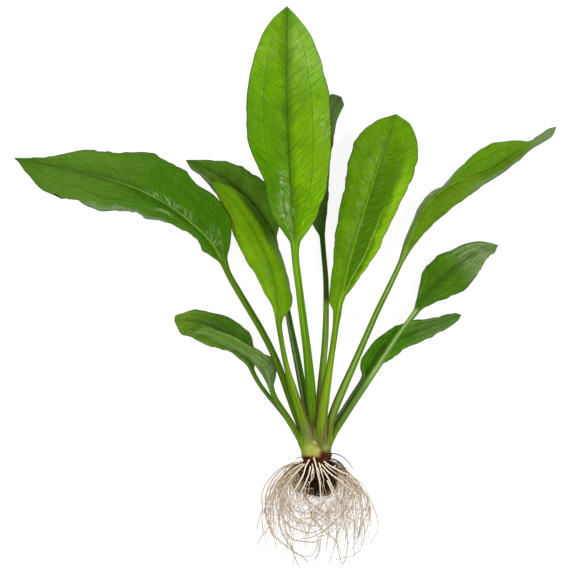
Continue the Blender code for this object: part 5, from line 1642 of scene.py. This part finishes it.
class StageSettings(bpy.types.PropertyGroup):
    """Camera, floor and lights."""

    camera_height: FloatProperty(
        name="Camera height", description="Camera's height over the floor", default=2.4, unit="LENGTH"
    )
    lens: FloatProperty(name="Lens", description="Focal length in mm on a 36 mm sensor", default=278.06)
    floor_colour: FloatVectorProperty(
        name="Floor colour", description="Colour of the plain floor",
        default=(0.24, 0.24, 0.243), subtype="COLOR",
    )
    floor_glow: FloatProperty(
        name="Floor glow", description="Light that the lit table gives off", default=0.84, min=0.0
    )
    light: FloatProperty(name="Light", description="Strength of the soft lights", default=1.0, min=0.0)
    room: FloatProperty(
        name="Room", description="Strength of the light from the room's walls", default=1.6, min=0.0
    )


# Operators


class SWORD_OT_stage(bpy.types.Operator):
    """Makes the camera, the floor and the soft lights"""

    bl_idname = "sword.stage"
    bl_label = "Stage"

    def execute(self, context):
        settings = context.scene.sword_stage
        scene = context.scene
        camera = bpy.data.objects.new("camera", bpy.data.cameras.new("camera"))
        camera.data.sensor_width = 36.0
        camera.data.lens = settings.lens
        camera.data.clip_end = 20.0
        camera.location = (CAMERA_X * MM, CAMERA_Y * MM, settings.camera_height)
        scene.collection.objects.link(camera)
        scene.camera = camera
        scene.view_settings.view_transform = "Standard"
        scene.view_settings.look = "None"
        self.add_floor(scene, settings)
        self.add_room(scene, settings)
        self.add_lamps(scene, settings)
        return {"FINISHED"}

    def add_floor(self, scene, settings):
        mesh = bpy.data.meshes.new("floor")
        corners = [(x * FLOOR_HALF, y * FLOOR_HALF, 0.0) for x, y in ((-1, -1), (1, -1), (1, 1), (-1, 1))]
        mesh.from_pydata(corners, [], [(0, 1, 2, 3)])
        f = Finish("lit_table")
        f.shader.inputs["Emission Color"].default_value = (1.0, 1.0, 1.0, 1.0)
        f.shader.inputs["Emission Strength"].default_value = settings.floor_glow
        mesh.materials.append(f.shade(tuple(settings.floor_colour), 0.9, None, 0.1))
        floor = bpy.data.objects.new("floor", mesh)
        floor.location.z = -FLOOR_GAP
        scene.collection.objects.link(floor)

    def add_room(self, scene, settings):
        """Bright walls all round and a dark ceiling, so that faces turned up stay deep in colour."""
        world = bpy.data.worlds.new("soft_room")
        world.use_nodes = True
        tree = world.node_tree
        place = tree.nodes.new("ShaderNodeTexCoord")
        split = tree.nodes.new("ShaderNodeSeparateXYZ")
        ring = tree.nodes.new("ShaderNodeMapRange")
        ring.interpolation_type = "SMOOTHSTEP"
        values = (*WALL_TOPS, settings.room, CEILING_SHARE * settings.room)
        for socket, value in zip(ring.inputs[1:5], values):
            socket.default_value = value
        tree.links.new(place.outputs["Generated"], split.inputs[0])
        tree.links.new(split.outputs[2], ring.inputs[0])
        tree.links.new(ring.outputs[0], tree.nodes["Background"].inputs["Strength"])
        tree.nodes["Background"].inputs["Color"].default_value = (1.0, 1.0, 1.0, 1.0)
        scene.world = world

    def add_lamps(self, scene, settings):
        for name, place, power in LAMPS:
            light = bpy.data.lights.new(name, "AREA")
            light.shape = "DISK"
            light.size = LAMP_SIZE
            light.energy = power * settings.light
            lamp = bpy.data.objects.new(name, light)
            lamp.location = place
            lamp.rotation_mode = "QUATERNION"
            lamp.rotation_quaternion = Vector(place).to_track_quat("Z", "Y")
            scene.collection.objects.link(lamp)


class SWORD_OT_leaves(bpy.types.Operator):
    """Builds the eleven stalked leaves"""

    bl_idname = "sword.leaves"
    bl_label = "Leaves"

    def execute(self, context):
        settings = context.scene.sword_leaves
        for name, look in LOOKS.items():
            finishes = [
                LeafFinish(f"{name}_upper", look, settings, False).finish(),
                LeafFinish(f"{name}_under", look, settings, True).finish(),
            ]
            new_piece(f"{name}_skin", leaf_mesh(name, settings, finishes), [name])
        return {"FINISHED"}


class SWORD_OT_crown(bpy.types.Operator):
    """Builds the crown, the sheaths that close over it and the warty rhizome under it"""

    bl_idname = "sword.crown"
    bl_label = "Crown"

    def execute(self, context):
        settings = context.scene.sword_crown
        finish = self.sheath_finish(settings, context.scene.sword_leaves)
        new_piece("crown_skin", self.crown_mesh(finish), ["crown"])
        new_piece("crown_sheaths", ring_mesh("crown_sheaths", sheath_rings(), finish))
        new_piece("rhizome_warts", self.wart_mesh(settings))
        new_piece("papery_scale", self.scale_mesh())
        return {"FINISHED"}

    def sheath_finish(self, settings, leaf_settings):
        """The feet's own colour, which turns to bark at the rhizome, higher up on the right."""
        f = Finish("crown_flesh")
        x, y, z = f.place_mm()
        stripe = f.stripes(f.times(x, 1.5), f.times(y, 0.1), f.times(z, 1.5))
        patch = f.noise(f.place(), 320.0, 3.0, 0.6)
        colour = foot_colour(f, x, y, leaf_settings)
        low = f.plus(y, f.swing(patch, 3.4, 0.0))
        bark = f.dim(tuple(settings.rhizome), f.swing(patch, 1.2))
        rusty = f.times(f.ramp(low, -87.2, -90.0), f.ramp(x, 16.8, 20.2))
        colour = f.mix(rusty, colour, bark)
        amber = f.times(f.ramp(low, -88.6, -91.0), f.hill(x, 10.0, 19.0, 2.5), 0.8)
        colour = f.mix(amber, colour, CROWN_AMBER)
        colour = f.mix(f.ramp(low, -90.0, -92.4), colour, bark)
        return f.shade(colour, 0.45, f.bump(f.plus(stripe, patch), 0.4, 0.0005), 0.08, CROWN_SHEEN)

    def crown_mesh(self, finish):
        """A barrel with one fading ridge under each stalk's foot."""
        turn = np.linspace(0.0, 2 * math.pi, CROWN_SIDES, endpoint=False)
        drop = np.linspace(0.0, CROWN_PROFILE[-1][0], CROWN_RINGS)
        swell = np.zeros((CROWN_RINGS, CROWN_SIDES))
        for x, _, z, width in [leaf["stalk"][0] for leaf in LEAVES.values()]:
            angle = math.atan2((z - CROWN_Z) / CROWN_DEPTH_SHARE, x - CROWN_X)
            away = np.abs((turn - angle + math.pi) % (2 * math.pi) - math.pi)
            fade = np.clip(1 - drop / RIDGE_LENGTH, 0.0, 1.0)[:, None]
            swell += 0.55 * fade * np.exp(-((away * 8.0 / width) ** 2))[None, :]
        radius = crown_radius(drop)[:, None] - 0.7 + np.minimum(swell, 0.6)
        x = CROWN_X + radius * np.cos(turn)
        z = CROWN_Z + radius * np.sin(turn) * CROWN_DEPTH_SHARE
        y = CROWN_TOP_Y - drop[:, None] * np.ones((1, CROWN_SIDES))
        return ring_mesh("crown_skin", np.stack([x, y, z], axis=-1), finish)

    def wart_mesh(self, settings):
        """Round root scars and buds on the brown rhizome under the crown."""
        chance = np.random.default_rng(5)
        clumps = []
        while len(clumps) < WARTS:
            angle = chance.uniform(-0.3, math.pi + 0.3)
            drop = chance.uniform(3.0, 9.6)
            radius = crown_radius(drop) - 0.2
            x = CROWN_X + radius * math.cos(angle)
            # They reach up higher on the right.
            if drop < 5.4 + 0.25 * max(0.0, 18.0 - x) and (x < 18.2 or drop < 3.6):
                continue
            z = CROWN_Z + radius * math.sin(angle) * CROWN_DEPTH_SHARE
            clumps.append(((x, CROWN_TOP_Y - drop, z), chance.uniform(0.45, 1.0)))
        f = Finish("rhizome_bark")
        patch = f.noise(f.place(), 500.0, 3.0)
        colour = f.mix(f.ramp(patch, 0.4, 0.62), tuple(settings.rhizome), WART_LIGHT)
        finish = f.shade(colour, 0.35, f.bump(patch, 0.5, 0.0004), 0.06, WART_SHEEN)
        return lumps("rhizome_warts", clumps, chance, finish)

    def scale_mesh(self):
        """The dry whitish scale where two stalks part, in front."""
        chance = np.random.default_rng(3)
        f = Finish("papery_scale")
        patch = f.noise(f.place(), 700.0, 3.0, 0.6)
        colour = f.mix(f.ramp(patch, 0.35, 0.65), *SCALE_COLOURS)
        finish = f.shade(colour, 0.6, f.bump(patch, 0.5, 0.0005), 0.3)
        return lumps("papery_scale", SCALE_CLUMPS, chance, finish, 0.7)


class SWORD_OT_medium(bpy.types.Operator):
    """Builds the crumbly planting medium held under the crown"""

    bl_idname = "sword.medium"
    bl_label = "Planting medium"

    def execute(self, context):
        settings = context.scene.sword_medium
        material = self.medium_finish(settings)
        new_piece("medium_body", self.body_mesh(material), ["root_ball_core"])
        new_piece("medium_crumbs", self.crumb_mesh(settings, material))
        return {"FINISHED"}

    def medium_finish(self, settings):
        """Dark crumbs, matted with pale fibres at the sides and the bottom."""
        f = Finish("planting_fibre")
        patch = f.noise(f.place(), 600.0, 4.0, 0.65)
        colour = f.mix(f.ramp(patch, 0.45, 0.75), tuple(settings.colour), MEDIUM_LIGHT)
        x, y, z = f.place_mm()
        middle_x, middle_y, wide, tall = MATTED_FROM
        aside = f.times(f.less(x, middle_x), 1.0 / wide)
        below = f.times(f.maths("MINIMUM", f.less(y, middle_y), 0.0), 1.0 / tall)
        away = f.plus(f.times(aside, aside), f.times(below, below))
        fibres = f.stripes(f.times(x, 1.6), f.times(y, 0.5), f.times(z, 1.6), 3.0, 0.7)
        matted = f.ramp(f.plus(away, f.swing(fibres, 1.6, 0.0)), 0.7, 1.5, 0.0, 0.85)
        colour = f.mix(matted, colour, f.mix(f.ramp(fibres, 0.4, 0.6), *FIBRE_COLOURS))
        return f.shade(colour, 0.92, f.bump(patch, 0.8, 0.0008), 0.03)

    def crumb_mesh(self, settings, material):
        chance = np.random.default_rng(23)
        clumps = []
        centre, half = np.array(CORE_CENTRE), np.array(CORE_HALF)
        while len(clumps) < settings.crumbs:
            way = unit(chance.normal(size=3))
            spot = centre + way * half * chance.uniform(0.86, 1.02)
            spot[1] = min(spot[1], CORE_TOP_Y + chance.uniform(-0.4, 1.2))
            spot[2] = max(spot[2], LOWEST_CRUMB)
            clumps.append((spot, chance.uniform(0.35, 1.15)))
        # A shoulder of crumbs under the crown, heaped on the body's flat top.
        for _ in range(settings.crumbs // 2):
            turn, far = chance.uniform(0.0, 2 * math.pi), chance.uniform(0.35, 1.05)
            y = CORE_TOP_Y + 4.6 * (1.1 - far) * chance.random()
            x = CORE_CENTRE[0] + 11.6 * far * math.cos(turn)
            z = CORE_CENTRE[2] + 11.0 * far * math.sin(turn)
            clumps.append(((x, y, max(z, LOWEST_CRUMB)), chance.uniform(0.6, 1.3)))
        return lumps("medium_crumbs", clumps, chance, material)

    def body_mesh(self, material):
        """The core as an uneven ball, flat on top and where it lies on the table."""
        work = bmesh.new()
        bmesh.ops.create_icosphere(work, subdivisions=6, radius=1.0)
        centre = Vector(CORE_CENTRE)
        for vert in work.verts:
            way = vert.co.normalized()
            point = Vector([c * h for c, h in zip(vert.co, CORE_HALF)])
            lump = noise.noise((centre + point) / 7.0) - 0.5
            crumb = noise.noise(point / 2.1) + 0.6 * noise.noise(point / 0.9)
            point += way * (1.1 * lump + 0.75 * crumb - 0.5) + centre
            point.y = min(point.y, CORE_TOP_Y)
            point.z = max(point.z, 0.0)
            vert.co = point * MM
        mesh = bpy.data.meshes.new("medium_body")
        work.to_mesh(mesh)
        work.free()
        mesh.materials.append(material)
        mesh.shade_smooth()
        return mesh


class SWORD_OT_roots(bpy.types.Operator):
    """Builds the main roots and the fine ones that branch off them"""

    bl_idname = "sword.roots"
    bl_label = "Roots"

    def execute(self, context):
        settings = context.scene.sword_roots
        young, old = tuple(settings.young), tuple(settings.old)
        main = root_finish("main_root", scaled(young, 0.86), scaled(young, 0.62), MAIN_ROOT_TIP, young)
        fine = root_finish("fine_root", scaled(young, 0.9), old, *FINE_ROOT_ENDS)
        long = root_finish("long_root", old, scaled(old, 0.75), *LONG_ROOT_ENDS)
        routes = main_routes()
        nodes = [f"root_{index + 1:02d}" for index in range(len(routes))]
        new_piece("main_roots", self.main_mesh(settings, routes, main), nodes)
        chance = np.random.default_rng(settings.seed)
        size = settings.fine_radius / MM
        for name, counted, passes, length, share, *bounds in STRAND_GROUPS:
            parents = np.concatenate([routes[:, first::passes] for first in range(passes)])
            strands = arcs(parents, chance, getattr(settings, counted), length, *bounds)
            self.add_strands(name, strands, chance, size * share, fine)
        self.add_strands("long_roots", hand_routes(LONG_ROOTS, routes), chance, size * LONG_SHARE, long)
        dead = root_finish("dead_root", *DEAD_ROOT_COLOURS)
        dead_routes = np.array([course_of(course, DEAD_POINTS) for course in DEAD_ROOTS])
        self.add_strands("dead_roots", dead_routes, chance, size * DEAD_SHARE, dead)
        return {"FINISHED"}

    def main_mesh(self, settings, routes, material):
        """The main roots, with a slight unevenness of their own."""
        chance = np.random.default_rng(settings.seed + 1)
        count, length = routes.shape[:2]
        run = np.linspace(0.0, 1.0, length)[None, :]
        routes = routes + wander(chance, count, length, MAIN_WANDER)
        swell = ROOT_HEAD_SHARE + (1 - ROOT_HEAD_SHARE) * np.sin(math.pi * np.minimum(1.0, 2 * run))
        radii = ROOT_RADIUS * (0.9 * swell - (ROOT_TIP_LOSS + 0.1) * run**0.6)
        radii = np.repeat(radii, count, axis=0)
        tones = chance.uniform(0.0, 1.0, count)
        return tubes("main_roots", kept_low(routes, radii), radii, tones, 8, material)

    def add_strands(self, name, routes, chance, size, material):
        count, length = routes.shape[:2]
        run = np.linspace(0.0, 1.0, length)[None, :]
        radii = chance.uniform(0.7, 1.3, (count, 1)) * size * (1.1 - 0.45 * run)
        mesh = tubes(name, kept_low(routes, radii), radii, chance.random(count), 4, material)
        new_piece(name, mesh)


# Panel and registration


class SWORD_PT_panel(bpy.types.Panel):
    """Lists the plant's settings and the steps that build it"""

    bl_idname = "SWORD_PT_panel"
    bl_label = "Amazon Sword Plant"
    bl_space_type = "VIEW_3D"
    bl_region_type = "UI"
    bl_category = "Sword Plant"

    def draw(self, context):
        for group, operators in STEPS.items():
            box = self.layout.box()
            settings = getattr(context.scene, group)
            for prop in settings.bl_rna.properties:
                if prop.identifier not in ("rna_type", "name"):
                    box.prop(settings, prop.identifier)
            for operator in operators:
                box.operator(operator)


SETTINGS = {
    "sword_stage": StageSettings,
    "sword_leaves": LeafSettings,
    "sword_crown": CrownSettings,
    "sword_medium": MediumSettings,
    "sword_roots": RootSettings,
}
STEPS = {
    "sword_stage": ("sword.stage",),
    "sword_leaves": ("sword.leaves",),
    "sword_crown": ("sword.crown",),
    "sword_medium": ("sword.medium",),
    "sword_roots": ("sword.roots",),
}
OPERATORS = (SWORD_OT_stage, SWORD_OT_leaves, SWORD_OT_crown, SWORD_OT_medium, SWORD_OT_roots)


def register():
    for group in (*SETTINGS.values(), *OPERATORS, SWORD_PT_panel):
        bpy.utils.register_class(group)
    for title, group in SETTINGS.items():
        setattr(bpy.types.Scene, title, PointerProperty(type=group))


def unregister():
    for title in SETTINGS:
        delattr(bpy.types.Scene, title)
    for group in reversed((*SETTINGS.values(), *OPERATORS, SWORD_PT_panel)):
        bpy.utils.unregister_class(group)


def main():
    register()
    bpy.ops.sword.stage()
    bpy.ops.sword.leaves()
    bpy.ops.sword.crown()
    bpy.ops.sword.medium()
    bpy.ops.sword.roots()
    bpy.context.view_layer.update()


if __name__ == "__main__":
    main()
